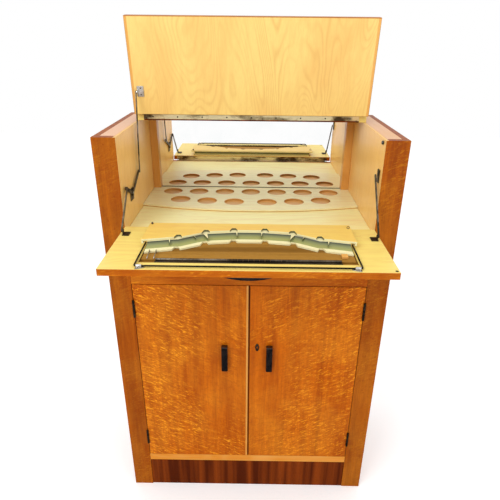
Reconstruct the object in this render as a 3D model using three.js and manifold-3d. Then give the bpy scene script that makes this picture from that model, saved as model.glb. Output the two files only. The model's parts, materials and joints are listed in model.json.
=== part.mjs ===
// Cocktail cabinet: a two-door cupboard below a drinks compartment whose front falls forward as a
// serving flap while its lid swings up. Millimetres, +Z up, +Y towards the back, +X to the right.
// Everything is laid out from the front plane of the cabinet (y = 0) and the floor (z = 0), and one
// outer group then moves it so that the origin is at the middle of the footprint.
import * as THREE from "three";
import { mergeVertices } from "three/addons/utils/BufferGeometryUtils.js";
import Module from "manifold-3d";

const wasm = await Module();
wasm.setup();

// Driving dimensions of the cabinet
const WIDTH = 760;
const DEPTH = 402;
const SIDE_HEIGHT = 1171;
const SIDE_WIDTH = 58.7;
const LINING = 6;
const OUTER_PANEL = 15;
const STILE_DEPTH = 20;
const CAP_THICK = 6;
const BACK_THICK = 6;
const JOINT = 0.3;

// Cupboard, plinth and doors
const PLINTH_HEIGHT = 113;
const PLINTH_SETBACK = 2;
const BOARD = 18;
const RAIL_HEIGHT = 25;
const DOOR_GAP = 1.8;
const DOOR_TOP = 774.5;
const MEETING_GAP = 5;
const MEETING_CENTRE = 1.3;
const MEETING_STRIP = 3.5;
const MEETING_STRIP_SETBACK = 3;
const HANDLE = { width: 19, depth: 15, height: 86, centreZ: 536.5, corner: 4, steps: 4 };
const HANDLE_INSET_LEFT = 68;
const HANDLE_INSET_RIGHT = 57;
const ESCUTCHEON = { width: 11, height: 25, thick: 1.6, inset: 21.5, centreZ: 572 };
const KEYHOLE = { width: 3.2, height: 10 };
const LOCK = { width: 36, height: 56, thick: 13, inset: 1 };

// Drinks compartment
const FLOOR_LEVEL = 927;
const MIRROR_THICK = 4;
const STRIP_WIDTH = 23;
const STRIP_THICK = 13.5;
const TRAY_THICK = 6;
const TRAY_BOW = 45;
const TRAY_DEPTH_AT_WALL = 180;
const HOLE_RADIUS = 30;
const BACK_ROW = { count: 7, pitch: 84, fromMirror: 49 };
const FRONT_ROW = { perSide: 3, first: 50, pitch: 83, fromEdge: 74 };

// Lid and fixed top
const TOP_THICK = 20;
const LID_HINGE_Y = 250;
const LID_OPEN_ANGLE = 83.8;

// Hinges
const LEAF = 1;
const LEAF_GAP = 0.3;
const KNUCKLE = 2.4;
const KNUCKLE_SIDES = 12;
const ROUND_SIDES = 24;
const PIN = 0.9;
const BORE = 1.25;
const KNUCKLE_END_GAP = 0.4;
const LONG_HINGE = { knuckles: 11, lidWidth: 16, flapWidth: 14.5, lidEnd: 15, flapEnd: 14 };
const BUTT = {
  half: 27,
  radius: 3.4,
  pin: 1.5,
  knuckles: 5,
  leaf: 1.2,
  width: 16,
  proud: 2.6,
  upperZ: 698,
  lowerZ: 217,
};

// Drop flap
const FLAP_THICK = 16.4;
const FLAP_CLEARANCE = 1.2;
const FLAP_TOP_GAP = 0.8;
const PULL = { half: 54, drop: 8, depth: 14, fromEdge: 1 };
const WELL = { half: 239, back: 15, front: 207, depth: 5, clearance: 2 };
const WELL_BOARD_THICK = 4;
const WELL_HINGE = {
  y: -194,
  rise: 1.6,
  sink: 0.5,
  radius: 3,
  knuckles: 9,
  leaf: 14,
  flapLeaf: 11,
  fromWellEnd: 34,
};

// Gallery that stands on the well board, and the bail that lifts it
const GALLERY = { overhang: 11, back: -18, topThick: 5, height: 18 };
const COVE = { endGap: 3, reach: 38, lip: 4, wall: 3, grooveEnd: 10, grooveSides: 32 };
const NOTCH = { centres: [38, 105, 167], half: 9, depth: 13 };
const BAIL = { y: -231, rise: 4, rod: 1.8, armGap: 2, armThick: 3, armHalf: 3, armBackY: -112, armRise: 5 };
const BAIL_BRACKET = { gap: 2, ear: 2, margin: 1.5, foot: 18, half: 9, thick: 1.4 };

// Linkage between the lid and the flap, on the left, and the sliding stay on the right
const LINK_LAYER = 3;
const LINK_THICK = 2.5;
const LINK_HALF = 4.5;
const ROD_HALF = 3.6;
const HUB_RADIUS = 9;
const CRANK_PLATE = { half: 14, below: 20, above: 12 };
const STAY_PLATE = { half: 9, below: 10, above: 22 };
const FOOT_THICK = 2;
const LID_FOOT = { near: 9, far: 27, half: 14 };
const FLAP_FOOT = { near: 10, far: 26, half: 11 };
const LID_PIVOT = { forward: 64, below: 30.4 };
const FLAP_PIVOT = { forward: 52, above: 26.4 };
const CRANK = { y: 95, aboveFloor: 78, backY: 175, backAbove: 116, frontY: 32.13, frontAbove: 108.77 };
const STAY_WALL = { y: 28, aboveFloor: 145 };
const STAY_PIVOT = { forward: 66, above: 25.4 };
const STAY_SLOT = { half: 1.6, fromWall: 6, length: 118 };

// How far a cutting shape runs past the face that it opens
const OVERCUT = 1;

// Sizes that follow from them
const innerHalf = WIDTH / 2 - SIDE_WIDTH;
const liningOuter = innerHalf + LINING;
const panelInner = WIDTH / 2 - OUTER_PANEL;
const backFace = DEPTH - BACK_THICK - JOINT;
const mirrorFace = backFace - JOINT - MIRROR_THICK;
const floorUnder = FLOOR_LEVEL - BOARD;
const doorBottom = PLINTH_HEIGHT + RAIL_HEIGHT + DOOR_GAP;
const apronBottom = DOOR_TOP + DOOR_GAP;
const leafSpace = LEAF + 2 * LEAF_GAP;
const flapPinZ = FLOOR_LEVEL + leafSpace;
const flapTop = flapPinZ + FLAP_THICK;
const flapHalf = innerHalf - FLAP_CLEARANCE;
const flapReach = SIDE_HEIGHT - flapPinZ - FLAP_TOP_GAP;
const lidUnder = SIDE_HEIGHT + JOINT;
const lidPinZ = lidUnder + TOP_THICK;
const trayTop = FLOOR_LEVEL + JOINT + TRAY_THICK;
const trayFrontAtWall = mirrorFace - TRAY_DEPTH_AT_WALL;
const boardTop = flapTop - WELL.depth + JOINT + WELL_BOARD_THICK;
const galleryFoot = boardTop + JOINT;
const galleryTop = flapTop + GALLERY.height;
const galleryHalf = WELL.half + GALLERY.overhang;
const coveHalf = WELL.half - COVE.endGap;
const bailArmX = [WELL.half + BAIL.armGap, WELL.half + BAIL.armGap + BAIL.armThick];
const leftDoorEdge = MEETING_CENTRE - MEETING_GAP / 2;
const rightDoorEdge = MEETING_CENTRE + MEETING_GAP / 2;

// Finishes
function finish(color, roughness, metalness = 0) {
  return () => new THREE.MeshStandardMaterial({ color, roughness, metalness });
}
const figuredVeneer = finish(0xcf7a1e, 0.3);
const paleMaple = finish(0xf0c67a, 0.4);
const capVeneer = finish(0xd99a70, 0.2);
const mahogany = finish(0x5a220c, 0.45);
const plywood = finish(0xb98d5a, 0.8);
const brass = finish(0x9a8350, 0.4, 1);
const bronze = finish(0x4a4238, 0.45, 1);
const plated = finish(0xb8b4a8, 0.3, 1);
const blackGloss = finish(0x0c0a0a, 0.12);
const silvered = finish(0xeef2f2, 0.03, 1);
const greenPaint = finish(0xa9bf86, 0.4);
const wellWood = finish(0x9c6a2c, 0.55);

const cabinet = new THREE.Group();

function addPiece(name, geometry, material, parent = cabinet) {
  const mesh = new THREE.Mesh(geometry, material());
  mesh.name = name;
  parent.add(mesh);
  return mesh;
}

// Solids -----------------------------------------------------------------------------------------

function block(x, y, z) {
  const geometry = new THREE.BoxGeometry(x[1] - x[0], y[1] - y[0], z[1] - z[0]);
  return geometry.translate((x[0] + x[1]) / 2, (y[0] + y[1]) / 2, (z[0] + z[1]) / 2);
}

// A span from a to b on the chosen side of the middle plane, lowest first
function span(side, a, b) {
  return side > 0 ? [a, b] : [-b, -a];
}

function outline(points) {
  return new THREE.Shape(points.map(([u, v]) => new THREE.Vector2(u, v)));
}

function extruded(shape, depth, curveSegments = 12) {
  return new THREE.ExtrudeGeometry(shape, { depth, bevelEnabled: false, curveSegments });
}

// A prism whose (y, z) section runs from x0 to x1
function prismAlongX(shape, x0, x1) {
  const turn = new THREE.Matrix4().makeBasis(
    new THREE.Vector3(0, 1, 0),
    new THREE.Vector3(0, 0, 1),
    new THREE.Vector3(1, 0, 0),
  );
  return extruded(shape, x1 - x0).applyMatrix4(turn).translate(x0, 0, 0);
}

// A prism whose (x, z) section runs from y0 to y1
function prismAlongY(shape, y0, y1) {
  return extruded(shape, y1 - y0).rotateX(Math.PI / 2).translate(0, y1, 0);
}

// A prism whose (x, y) plan runs from z0 to z1
function prismAlongZ(shape, z0, z1) {
  return extruded(shape, z1 - z0).translate(0, 0, z0);
}

function rodAlongX(radius, [x0, x1], y, z, sides = KNUCKLE_SIDES) {
  const rod = new THREE.CylinderGeometry(radius, radius, x1 - x0, sides);
  return rod.rotateZ(Math.PI / 2).translate((x0 + x1) / 2, y, z);
}

function upright(radius, x, y, z0, z1) {
  const rod = new THREE.CylinderGeometry(radius, radius, z1 - z0, ROUND_SIDES);
  return rod.rotateX(Math.PI / 2).translate(x, y, (z0 + z1) / 2);
}

// A flat bar with round ends in a plane of constant x, between two (y, z) points
function flatBar(from, to, halfWidth, x) {
  const length = Math.hypot(to[0] - from[0], to[1] - from[1]);
  const shape = new THREE.Shape();
  shape.absarc(0, 0, halfWidth, Math.PI / 2, (3 * Math.PI) / 2);
  shape.absarc(length, 0, halfWidth, -Math.PI / 2, Math.PI / 2);
  const lean = Math.atan2(to[1] - from[1], to[0] - from[0]);
  return prismAlongX(shape, x[0], x[1]).rotateX(lean).translate(0, from[0], from[1]);
}

// Booleans ---------------------------------------------------------------------------------------

function solid(geometry) {
  const bare = geometry.clone();
  bare.deleteAttribute("normal");
  bare.deleteAttribute("uv");
  const merged = mergeVertices(bare, 1e-4);
  const vertProperties = new Float32Array(merged.attributes.position.array);
  const triVerts = new Uint32Array(merged.index.array);
  return new wasm.Manifold(new wasm.Mesh({ numProp: 3, vertProperties, triVerts }));
}

function surface(body) {
  const mesh = body.getMesh();
  const geometry = new THREE.BufferGeometry();
  geometry.setAttribute("position", new THREE.BufferAttribute(mesh.vertProperties, 3));
  geometry.setIndex(new THREE.BufferAttribute(mesh.triVerts, 1));
  return geometry;
}

function cut(geometry, tools) {
  return surface(tools.reduce((body, tool) => body.subtract(solid(tool)), solid(geometry)));
}

function join(geometries) {
  const [first, ...others] = geometries.map(solid);
  return surface(others.reduce((body, other) => body.add(other), first));
}

// One leaf of a hinge whose pin lies on the X axis. The leaf hangs down from the pin, between near
// and far from the pin's plane, and keeps every second knuckle. The leaf of parity 0 holds the pin.
function hingeLeaf({ half, width, near, far, knuckles, parity, radius = KNUCKLE, pin = PIN }) {
  const pitch = (2 * half) / knuckles;
  const holdsPin = parity === 0;
  const rolled = [];
  for (let i = parity; i < knuckles; i += 2) {
    const x0 = -half + i * pitch + (i ? KNUCKLE_END_GAP / 2 : 0);
    const x1 = -half + (i + 1) * pitch - (i < knuckles - 1 ? KNUCKLE_END_GAP / 2 : 0);
    rolled.push(rodAlongX(radius, [x0, x1], 0, 0));
    rolled.push(block([x0, x1], [near, far], [-radius - 2 * LEAF_GAP, 0]));
  }
  const plate = block([-half, half], [near, far], [-width, -radius - LEAF_GAP]);
  const leaf = join([plate, ...rolled]);
  if (holdsPin) return join([leaf, rodAlongX(pin, [-half, half], 0, 0)]);
  const bored = [-half - OVERCUT, half + OVERCUT];
  return cut(leaf, [rodAlongX(pin + BORE - PIN, bored, 0, 0)]);
}

// Carcass ----------------------------------------------------------------------------------------

const buttPinX = innerHalf - DOOR_GAP / 2;
const buttFar = LEAF_GAP / 2 + BUTT.leaf;

// The housing for one leaf of a butt hinge, with a round hollow for its knuckle
function buttHousing(side, x, centreZ) {
  const z = [centreZ - BUTT.half - JOINT, centreZ + BUTT.half + JOINT];
  const pocket = block(span(side, x[0], x[1]), [-OVERCUT, BUTT.width + JOINT - BUTT.proud], z);
  const hollow = upright(BUTT.radius + 2 * JOINT, side * buttPinX, -BUTT.proud, ...z);
  return [pocket, hollow];
}

function buttHousings(side, x) {
  return [...buttHousing(side, x, BUTT.upperZ), ...buttHousing(side, x, BUTT.lowerZ)];
}

function addSide(name, side) {
  const stile = block(span(side, innerHalf, WIDTH / 2), [0, STILE_DEPTH], [0, SIDE_HEIGHT]);
  const pocket = [innerHalf - OVERCUT, buttPinX + buttFar + JOINT];
  addPiece("front_stile_" + name, cut(stile, buttHousings(side, pocket)), figuredVeneer);
  const behindStile = STILE_DEPTH + JOINT;
  const outer = block(span(side, panelInner, WIDTH / 2), [behindStile, DEPTH], [0, SIDE_HEIGHT]);
  addPiece("side_panel_" + name, outer, figuredVeneer);
  addPiece(
    "top_cap_" + name,
    block(span(side, liningOuter + JOINT, panelInner - JOINT), [behindStile, backFace], [
      SIDE_HEIGHT - CAP_THICK,
      SIDE_HEIGHT,
    ]),
    capVeneer,
  );
  const liningX = span(side, innerHalf, liningOuter);
  addPiece(
    "compartment_lining_" + name,
    block(liningX, [behindStile, backFace], [floorUnder, SIDE_HEIGHT]),
    paleMaple,
  );
  addPiece(
    "cupboard_side_" + name,
    block(liningX, [behindStile, backFace], [0, floorUnder - JOINT]),
    plywood,
  );
}

function addCarcass() {
  const inside = [-innerHalf + JOINT, innerHalf - JOINT];
  const backHalf = panelInner - JOINT;
  addPiece(
    "back_panel",
    block([-backHalf, backHalf], [DEPTH - BACK_THICK, DEPTH], [0, SIDE_HEIGHT]),
    plywood,
  );
  addPiece(
    "compartment_floor",
    block(inside, [BOARD + JOINT, backFace], [floorUnder, FLOOR_LEVEL]),
    paleMaple,
  );
  const knuckleRoom = KNUCKLE + LEAF_GAP;
  const apron = outline([
    [0, apronBottom],
    [BOARD, apronBottom],
    [BOARD, FLOOR_LEVEL],
    [knuckleRoom, FLOOR_LEVEL],
    [0, FLOOR_LEVEL - knuckleRoom],
  ]);
  addPiece("apron_panel", prismAlongX(apron, ...inside), figuredVeneer);
  addPiece(
    "cupboard_base",
    block(inside, [STILE_DEPTH + JOINT, backFace], [PLINTH_HEIGHT, PLINTH_HEIGHT + BOARD]),
    plywood,
  );
  addPiece(
    "bottom_rail",
    block(inside, [0, STILE_DEPTH], [PLINTH_HEIGHT, PLINTH_HEIGHT + RAIL_HEIGHT]),
    paleMaple,
  );
  addPiece(
    "plinth",
    block(inside, [PLINTH_SETBACK, STILE_DEPTH], [0, PLINTH_HEIGHT - JOINT]),
    mahogany,
  );
}

// Drinks compartment -----------------------------------------------------------------------------

function addMirror() {
  const bottom = FLOOR_LEVEL + JOINT;
  const glassHalf = innerHalf - JOINT;
  addPiece(
    "mirror_glass",
    block([-glassHalf, glassHalf], [mirrorFace, mirrorFace + MIRROR_THICK], [bottom, SIDE_HEIGHT]),
    silvered,
  );
  for (const [name, side] of [["left", -1], ["right", 1]]) {
    const x = span(side, glassHalf - STRIP_WIDTH, glassHalf);
    const y = [mirrorFace - JOINT - STRIP_THICK, mirrorFace - JOINT];
    addPiece("corner_strip_" + name, block(x, y, [bottom, SIDE_HEIGHT]), paleMaple);
  }
}

// The tray's front edge bows forward by TRAY_BOW at the middle
function trayEdgeAt(x) {
  const half = innerHalf - JOINT;
  return trayFrontAtWall - TRAY_BOW * (1 - (x / half) ** 2);
}

function addGlassTray() {
  const half = innerHalf - JOINT;
  const stripInner = half - STRIP_WIDTH - JOINT;
  const stripFront = mirrorFace - 2 * JOINT - STRIP_THICK;
  const back = mirrorFace - JOINT;
  const plan = new THREE.Shape();
  plan.moveTo(-half, trayFrontAtWall);
  plan.quadraticCurveTo(0, trayFrontAtWall - 2 * TRAY_BOW, half, trayFrontAtWall);
  plan.lineTo(half, stripFront);
  plan.lineTo(stripInner, stripFront);
  plan.lineTo(stripInner, back);
  plan.lineTo(-stripInner, back);
  plan.lineTo(-stripInner, stripFront);
  plan.lineTo(-half, stripFront);
  const places = [];
  for (let i = 0; i < BACK_ROW.count; i++) {
    const x = (i - (BACK_ROW.count - 1) / 2) * BACK_ROW.pitch;
    places.push([x, mirrorFace - BACK_ROW.fromMirror]);
  }
  for (let i = 0; i < FRONT_ROW.perSide; i++) {
    const x = FRONT_ROW.first + i * FRONT_ROW.pitch;
    const y = trayEdgeAt(x) + FRONT_ROW.fromEdge;
    places.push([-x, y], [x, y]);
  }
  for (const [x, y] of places) {
    const hole = new THREE.Path();
    hole.absarc(x, y, HOLE_RADIUS, 0, 2 * Math.PI, true);
    plan.holes.push(hole);
  }
  addPiece("glass_tray", prismAlongZ(plan, FLOOR_LEVEL + JOINT, trayTop), paleMaple);
}

// Lid --------------------------------------------------------------------------------------------

const lidLeaf = {
  half: innerHalf - LONG_HINGE.lidEnd,
  width: LONG_HINGE.lidWidth,
  knuckles: LONG_HINGE.knuckles,
};

function addFixedTop() {
  const room = KNUCKLE + LEAF_GAP;
  const section = outline([
    [LID_HINGE_Y + leafSpace, lidUnder],
    [DEPTH, lidUnder],
    [DEPTH, lidPinZ],
    [LID_HINGE_Y + room, lidPinZ],
    [LID_HINGE_Y + leafSpace, lidPinZ - room],
  ]);
  addPiece("fixed_top", prismAlongX(section, -liningOuter, liningOuter), figuredVeneer);
  const leaf = hingeLeaf({ ...lidLeaf, near: LEAF_GAP, far: LEAF_GAP + LEAF, parity: 0 });
  addPiece("lid_hinge_top_leaf", leaf.translate(0, LID_HINGE_Y, lidPinZ), brass);
}

// The lid is laid out closed, about its hinge pin, and its group then swings it open
function addLid() {
  const lid = new THREE.Group();
  lid.position.set(0, LID_HINGE_Y, lidPinZ);
  lid.rotation.x = THREE.MathUtils.degToRad(-LID_OPEN_ANGLE);
  cabinet.add(lid);
  const room = KNUCKLE + LEAF_GAP;
  const section = outline([
    [-LID_HINGE_Y, -TOP_THICK],
    [-leafSpace, -TOP_THICK],
    [-leafSpace, -room],
    [-room, 0],
    [-LID_HINGE_Y, 0],
  ]);
  addPiece("lid_panel", prismAlongX(section, -liningOuter, liningOuter), figuredVeneer, lid);
  const leaf = hingeLeaf({ ...lidLeaf, near: -LEAF_GAP - LEAF, far: -LEAF_GAP, parity: 1 });
  addPiece("lid_hinge_leaf", leaf, brass, lid);
  const bracket = sideBracket({
    earX: linkLayer(3),
    footX: [-innerHalf + LID_FOOT.near, -innerHalf + LID_FOOT.far],
    pivot: [-LID_PIVOT.forward, -LID_PIVOT.below],
    faceZ: -TOP_THICK - JOINT,
    footY: LID_FOOT.half,
  });
  addPiece("lid_bracket", bracket, bronze, lid);
}

// Linkage ----------------------------------------------------------------------------------------

// Spans of x beside the left wall: 0 is the wall plate, 1 the crank, 2 the rod and arm, 3 the brackets
function linkLayer(index, side = -1) {
  const inner = innerHalf - JOINT - index * LINK_LAYER;
  return span(side, inner - LINK_THICK, inner);
}

// A screwed foot with an ear that holds a pivot, on a face at z = faceZ, above or below it
function sideBracket({ earX, footX, pivot, faceZ, footY }) {
  const away = Math.sign(pivot[1] - faceZ);
  const footTop = faceZ + away * FOOT_THICK;
  const foot = block(
    [Math.min(earX[0], footX[0]), Math.max(earX[1], footX[1])],
    [pivot[0] - footY, pivot[0] + footY],
    [Math.min(faceZ, footTop), Math.max(faceZ, footTop)],
  );
  const ear = flatBar([pivot[0], faceZ + away * LINK_HALF], pivot, LINK_HALF, earX);
  return join([foot, ear]);
}

const lidTurn = THREE.MathUtils.degToRad(-LID_OPEN_ANGLE);
const lidPivotOpen = [
  LID_HINGE_Y - LID_PIVOT.forward * Math.cos(lidTurn) + LID_PIVOT.below * Math.sin(lidTurn),
  lidPinZ - LID_PIVOT.forward * Math.sin(lidTurn) - LID_PIVOT.below * Math.cos(lidTurn),
];
const flapPivotOpen = [-FLAP_PIVOT.forward, flapPinZ + FLAP_PIVOT.above];
const crankPivot = [CRANK.y, FLOOR_LEVEL + CRANK.aboveFloor];
const crankBack = [CRANK.backY, FLOOR_LEVEL + CRANK.backAbove];
const crankFront = [CRANK.frontY, FLOOR_LEVEL + CRANK.frontAbove];
const stayWall = [STAY_WALL.y, FLOOR_LEVEL + STAY_WALL.aboveFloor];
const stayFlap = [-STAY_PIVOT.forward, flapPinZ + STAY_PIVOT.above];

function wallPlate(pivot, { half, below, above }, x) {
  return block(x, [pivot[0] - half, pivot[0] + half], [pivot[1] - below, pivot[1] + above]);
}

function addLinkage() {
  addPiece("crank_bracket", wallPlate(crankPivot, CRANK_PLATE, linkLayer(0)), bronze);
  const hub = rodAlongX(HUB_RADIUS, linkLayer(1), ...crankPivot, ROUND_SIDES);
  const crank = join([
    flatBar(crankPivot, crankBack, LINK_HALF, linkLayer(1)),
    flatBar(crankPivot, crankFront, LINK_HALF, linkLayer(1)),
    hub,
  ]);
  addPiece("bell_crank", crank, bronze);
  addPiece("lid_rod", flatBar(crankBack, lidPivotOpen, ROD_HALF, linkLayer(2)), bronze);
  addPiece("flap_arm", flatBar(flapPivotOpen, crankFront, LINK_HALF, linkLayer(2)), bronze);
}

function addStay() {
  addPiece("stay_bracket", wallPlate(stayWall, STAY_PLATE, linkLayer(0, 1)), bronze);
  const reach = Math.hypot(stayWall[0] - stayFlap[0], stayWall[1] - stayFlap[1]);
  const along = (distance) => [
    stayWall[0] + ((stayFlap[0] - stayWall[0]) * distance) / reach,
    stayWall[1] + ((stayFlap[1] - stayWall[1]) * distance) / reach,
  ];
  const slotFrom = along(-STAY_SLOT.fromWall + STAY_SLOT.half);
  const slotX = [linkLayer(3, 1)[0], linkLayer(1, 1)[1]];
  const slot = flatBar(slotFrom, along(STAY_SLOT.length), STAY_SLOT.half, slotX);
  const bar = flatBar(along(-STAY_SLOT.fromWall), stayFlap, LINK_HALF, linkLayer(2, 1));
  addPiece("stay_bar", cut(bar, [slot]), bronze);
}

// Drop flap --------------------------------------------------------------------------------------

const flapLeaf = {
  half: innerHalf - LONG_HINGE.flapEnd,
  width: LONG_HINGE.flapWidth,
  knuckles: LONG_HINGE.knuckles,
};

function addFlap() {
  const room = leafSpace + KNUCKLE - LEAF_GAP;
  const section = outline([
    [-flapReach, flapPinZ],
    [-room, flapPinZ],
    [-leafSpace, flapPinZ + room - leafSpace],
    [-leafSpace, flapTop],
    [-flapReach, flapTop],
  ]);
  const wellZ = [flapTop - WELL.depth, flapTop + OVERCUT];
  const well = block([-WELL.half, WELL.half], [-WELL.front, -WELL.back], wellZ);
  addPiece("flap_panel", cut(prismAlongX(section, -flapHalf, flapHalf), [well]), figuredVeneer);

  const fixed = hingeLeaf({ ...flapLeaf, near: -LEAF_GAP - LEAF, far: -LEAF_GAP, parity: 0 });
  addPiece("flap_hinge_floor_leaf", fixed.rotateX(Math.PI / 2).translate(0, 0, flapPinZ), brass);
  const moving = hingeLeaf({ ...flapLeaf, near: LEAF_GAP, far: LEAF_GAP + LEAF, parity: 1 });
  addPiece("flap_hinge_leaf", moving.rotateX(Math.PI).translate(0, 0, flapPinZ), brass);

  const pull = new THREE.Shape();
  pull.moveTo(-PULL.half, flapPinZ - JOINT);
  pull.quadraticCurveTo(0, flapPinZ - JOINT - 2 * PULL.drop, PULL.half, flapPinZ - JOINT);
  const pullFront = -flapReach + PULL.fromEdge;
  addPiece("flap_pull", prismAlongY(pull, pullFront, pullFront + PULL.depth), blackGloss);

  addFlapBracket("flap_bracket_left", -1, flapPivotOpen);
  addFlapBracket("flap_bracket_right", 1, stayFlap);
}

function addFlapBracket(name, side, pivot) {
  const bracket = sideBracket({
    earX: linkLayer(3, side),
    footX: span(side, innerHalf - FLAP_FOOT.far, innerHalf - FLAP_FOOT.near),
    pivot,
    faceZ: flapTop + JOINT,
    footY: FLAP_FOOT.half,
  });
  addPiece(name, bracket, bronze);
}

// Well board and gallery -------------------------------------------------------------------------

const wellPin = [WELL_HINGE.y, flapTop + WELL_HINGE.rise];

function addWellBoard() {
  const half = WELL.half - WELL.clearance;
  const y = [wellPin[0] + WELL_HINGE.radius + LEAF_GAP, -WELL.back - WELL.clearance];
  const board = block([-half, half], y, [boardTop - WELL_BOARD_THICK, boardTop]);
  addPiece("well_board", board, wellWood);
  const shared = {
    half: WELL.half - WELL_HINGE.fromWellEnd,
    knuckles: WELL_HINGE.knuckles,
    radius: WELL_HINGE.radius,
  };
  const below = wellPin[1] - boardTop - JOINT;
  const onBoard = { width: WELL_HINGE.leaf, near: -below, far: LEAF - below, parity: 0 };
  const boardLeaf = hingeLeaf({ ...shared, ...onBoard });
  addPiece("well_hinge_board_leaf", boardLeaf.rotateX(Math.PI / 2).translate(0, ...wellPin), brass);
  const sunk = WELL_HINGE.rise + WELL_HINGE.sink;
  const inFlap = { width: WELL_HINGE.flapLeaf, near: sunk, far: sunk + LEAF, parity: 1 };
  const flapSide = hingeLeaf({ ...shared, ...inFlap });
  addPiece("well_hinge_flap_leaf", flapSide.rotateX(-Math.PI / 2).translate(0, ...wellPin), bronze);
}

// The gallery's front edge: a shallow arch in seven straight lengths, deepest at the middle
const ARCH = [
  [0, -58],
  [28, -59],
  [95, -69],
  [115, -79],
  [155, -104],
  [180, -107],
];
const ARCH_END_Y = -124;

function archPoints(half, forward, withNotches) {
  const ends = [...ARCH, [half, ARCH_END_Y]];
  const right = [];
  const yAt = (x) => {
    const i = ends.findIndex(([end]) => end >= x);
    const [[x0, y0], [x1, y1]] = [ends[Math.max(i - 1, 0)], ends[Math.max(i, 1)]];
    return y0 + ((y1 - y0) * (x - x0)) / (x1 - x0) - forward;
  };
  if (withNotches) {
    for (const centre of NOTCH.centres) {
      const bottom = yAt(centre) + NOTCH.depth;
      right.push([centre - NOTCH.half, yAt(centre - NOTCH.half)]);
      right.push([centre - NOTCH.half / 2, bottom]);
      right.push([centre + NOTCH.half / 2, bottom]);
      right.push([centre + NOTCH.half, yAt(centre + NOTCH.half)]);
    }
    right.push([half, yAt(half)]);
  } else {
    for (const [x] of ends.slice(1)) right.push([x, yAt(x)]);
  }
  const left = right.map(([x, y]) => [-x, y]).reverse();
  return [...left, ...right];
}

function galleryPlan(half, forward) {
  return outline([[half, GALLERY.back], [-half, GALLERY.back], ...archPoints(half, forward, true)]);
}

function addGallery() {
  const topUnder = galleryTop - GALLERY.topThick;
  addPiece("gallery_top", prismAlongZ(galleryPlan(galleryHalf, 0), topUnder, galleryTop), paleMaple);
  const level = topUnder - JOINT;
  const height = level - galleryFoot - COVE.lip;
  const body = prismAlongZ(galleryPlan(coveHalf, COVE.reach), galleryFoot, level);
  const line = archPoints(coveHalf + COVE.grooveEnd, COVE.reach, false);
  const grooves = line.slice(1).map((end, i) => coveTool(line[i], end, height, level));
  addPiece("gallery_cove", cut(body, grooves), greenPaint);
}

// An elliptical bar that hollows the cove along one straight length of the arch
function coveTool(from, to, height, level) {
  const length = Math.hypot(to[0] - from[0], to[1] - from[1]) + 2 * OVERCUT;
  const bar = new THREE.CylinderGeometry(1, 1, length, COVE.grooveSides).rotateZ(Math.PI / 2);
  bar.scale(1, COVE.reach - COVE.wall, height);
  bar.rotateZ(Math.atan2(to[1] - from[1], to[0] - from[0]));
  return bar.translate((from[0] + to[0]) / 2, (from[1] + to[1]) / 2, level);
}

function addBail() {
  const pivot = [BAIL.y, flapTop + BAIL.rise];
  const armEnd = [BAIL.armBackY, flapTop + BAIL.armRise];
  const ear = [bailArmX[0] - BAIL_BRACKET.gap - BAIL_BRACKET.ear, bailArmX[0] - BAIL_BRACKET.gap];
  const bail = join([
    rodAlongX(BAIL.rod, [-bailArmX[1], bailArmX[1]], ...pivot),
    flatBar(pivot, armEnd, BAIL.armHalf, span(1, ...bailArmX)),
    flatBar(pivot, armEnd, BAIL.armHalf, span(-1, ...bailArmX)),
  ]);
  addPiece("bail", bail, bronze);
  for (const [name, side] of [["left", -1], ["right", 1]]) {
    addPiece("bail_bracket_" + name, bailBracket(side, pivot, ear), plated);
  }
}

// A screwed foot with a round ear that the bail's rod turns in
function bailBracket(side, pivot, ear) {
  const base = flapTop + JOINT;
  const earHalf = BAIL.armHalf + BAIL_BRACKET.margin;
  const y = [pivot[0] - BAIL_BRACKET.half, pivot[0] + BAIL_BRACKET.half];
  const footX = span(side, ear[0] - BAIL_BRACKET.foot, ear[1]);
  const foot = block(footX, y, [base, base + BAIL_BRACKET.thick]);
  const round = flatBar([pivot[0], base + BAIL.armHalf], pivot, earHalf, span(side, ...ear));
  const trimX = span(side, ear[0] - OVERCUT, ear[1] + OVERCUT);
  const trim = block(trimX, y, [base - 2 * earHalf, base]);
  const bore = rodAlongX(BAIL.rod + JOINT, [-innerHalf, innerHalf], ...pivot);
  return cut(join([round, foot]), [bore, trim]);
}

// Doors ------------------------------------------------------------------------------------------

function addDoor(name, side, meetingEdge) {
  const hingeEdge = innerHalf - DOOR_GAP;
  const x = side > 0 ? [meetingEdge, hingeEdge] : [-hingeEdge, meetingEdge];
  const pocket = [buttPinX - buttFar - JOINT, innerHalf];
  const door = block(x, [0, BOARD], [doorBottom, DOOR_TOP]);
  addPiece(name + "_door", cut(door, buttHousings(side, pocket)), figuredVeneer);
  addButt(name + "_upper_hinge", side, BUTT.upperZ);
  addButt(name + "_lower_hinge", side, BUTT.lowerZ);
}

function addButt(name, side, centreZ) {
  const stand = new THREE.Matrix4().makeBasis(
    new THREE.Vector3(0, 0, 1),
    new THREE.Vector3(-1, 0, 0),
    new THREE.Vector3(0, -1, 0),
  );
  const { half, width, knuckles, radius, pin } = BUTT;
  const shared = { half, width, knuckles, radius, pin };
  const place = (leaf) => leaf.applyMatrix4(stand).translate(side * buttPinX, -BUTT.proud, centreZ);
  const outward = side > 0 ? [-buttFar, -LEAF_GAP / 2] : [LEAF_GAP / 2, buttFar];
  const inward = [-outward[1], -outward[0]];
  const frame = hingeLeaf({ ...shared, near: outward[0], far: outward[1], parity: 0 });
  addPiece(name + "_frame_leaf", place(frame), bronze);
  const swing = hingeLeaf({ ...shared, near: inward[0], far: inward[1], parity: 1 });
  addPiece(name + "_door_leaf", place(swing), bronze);
}

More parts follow.
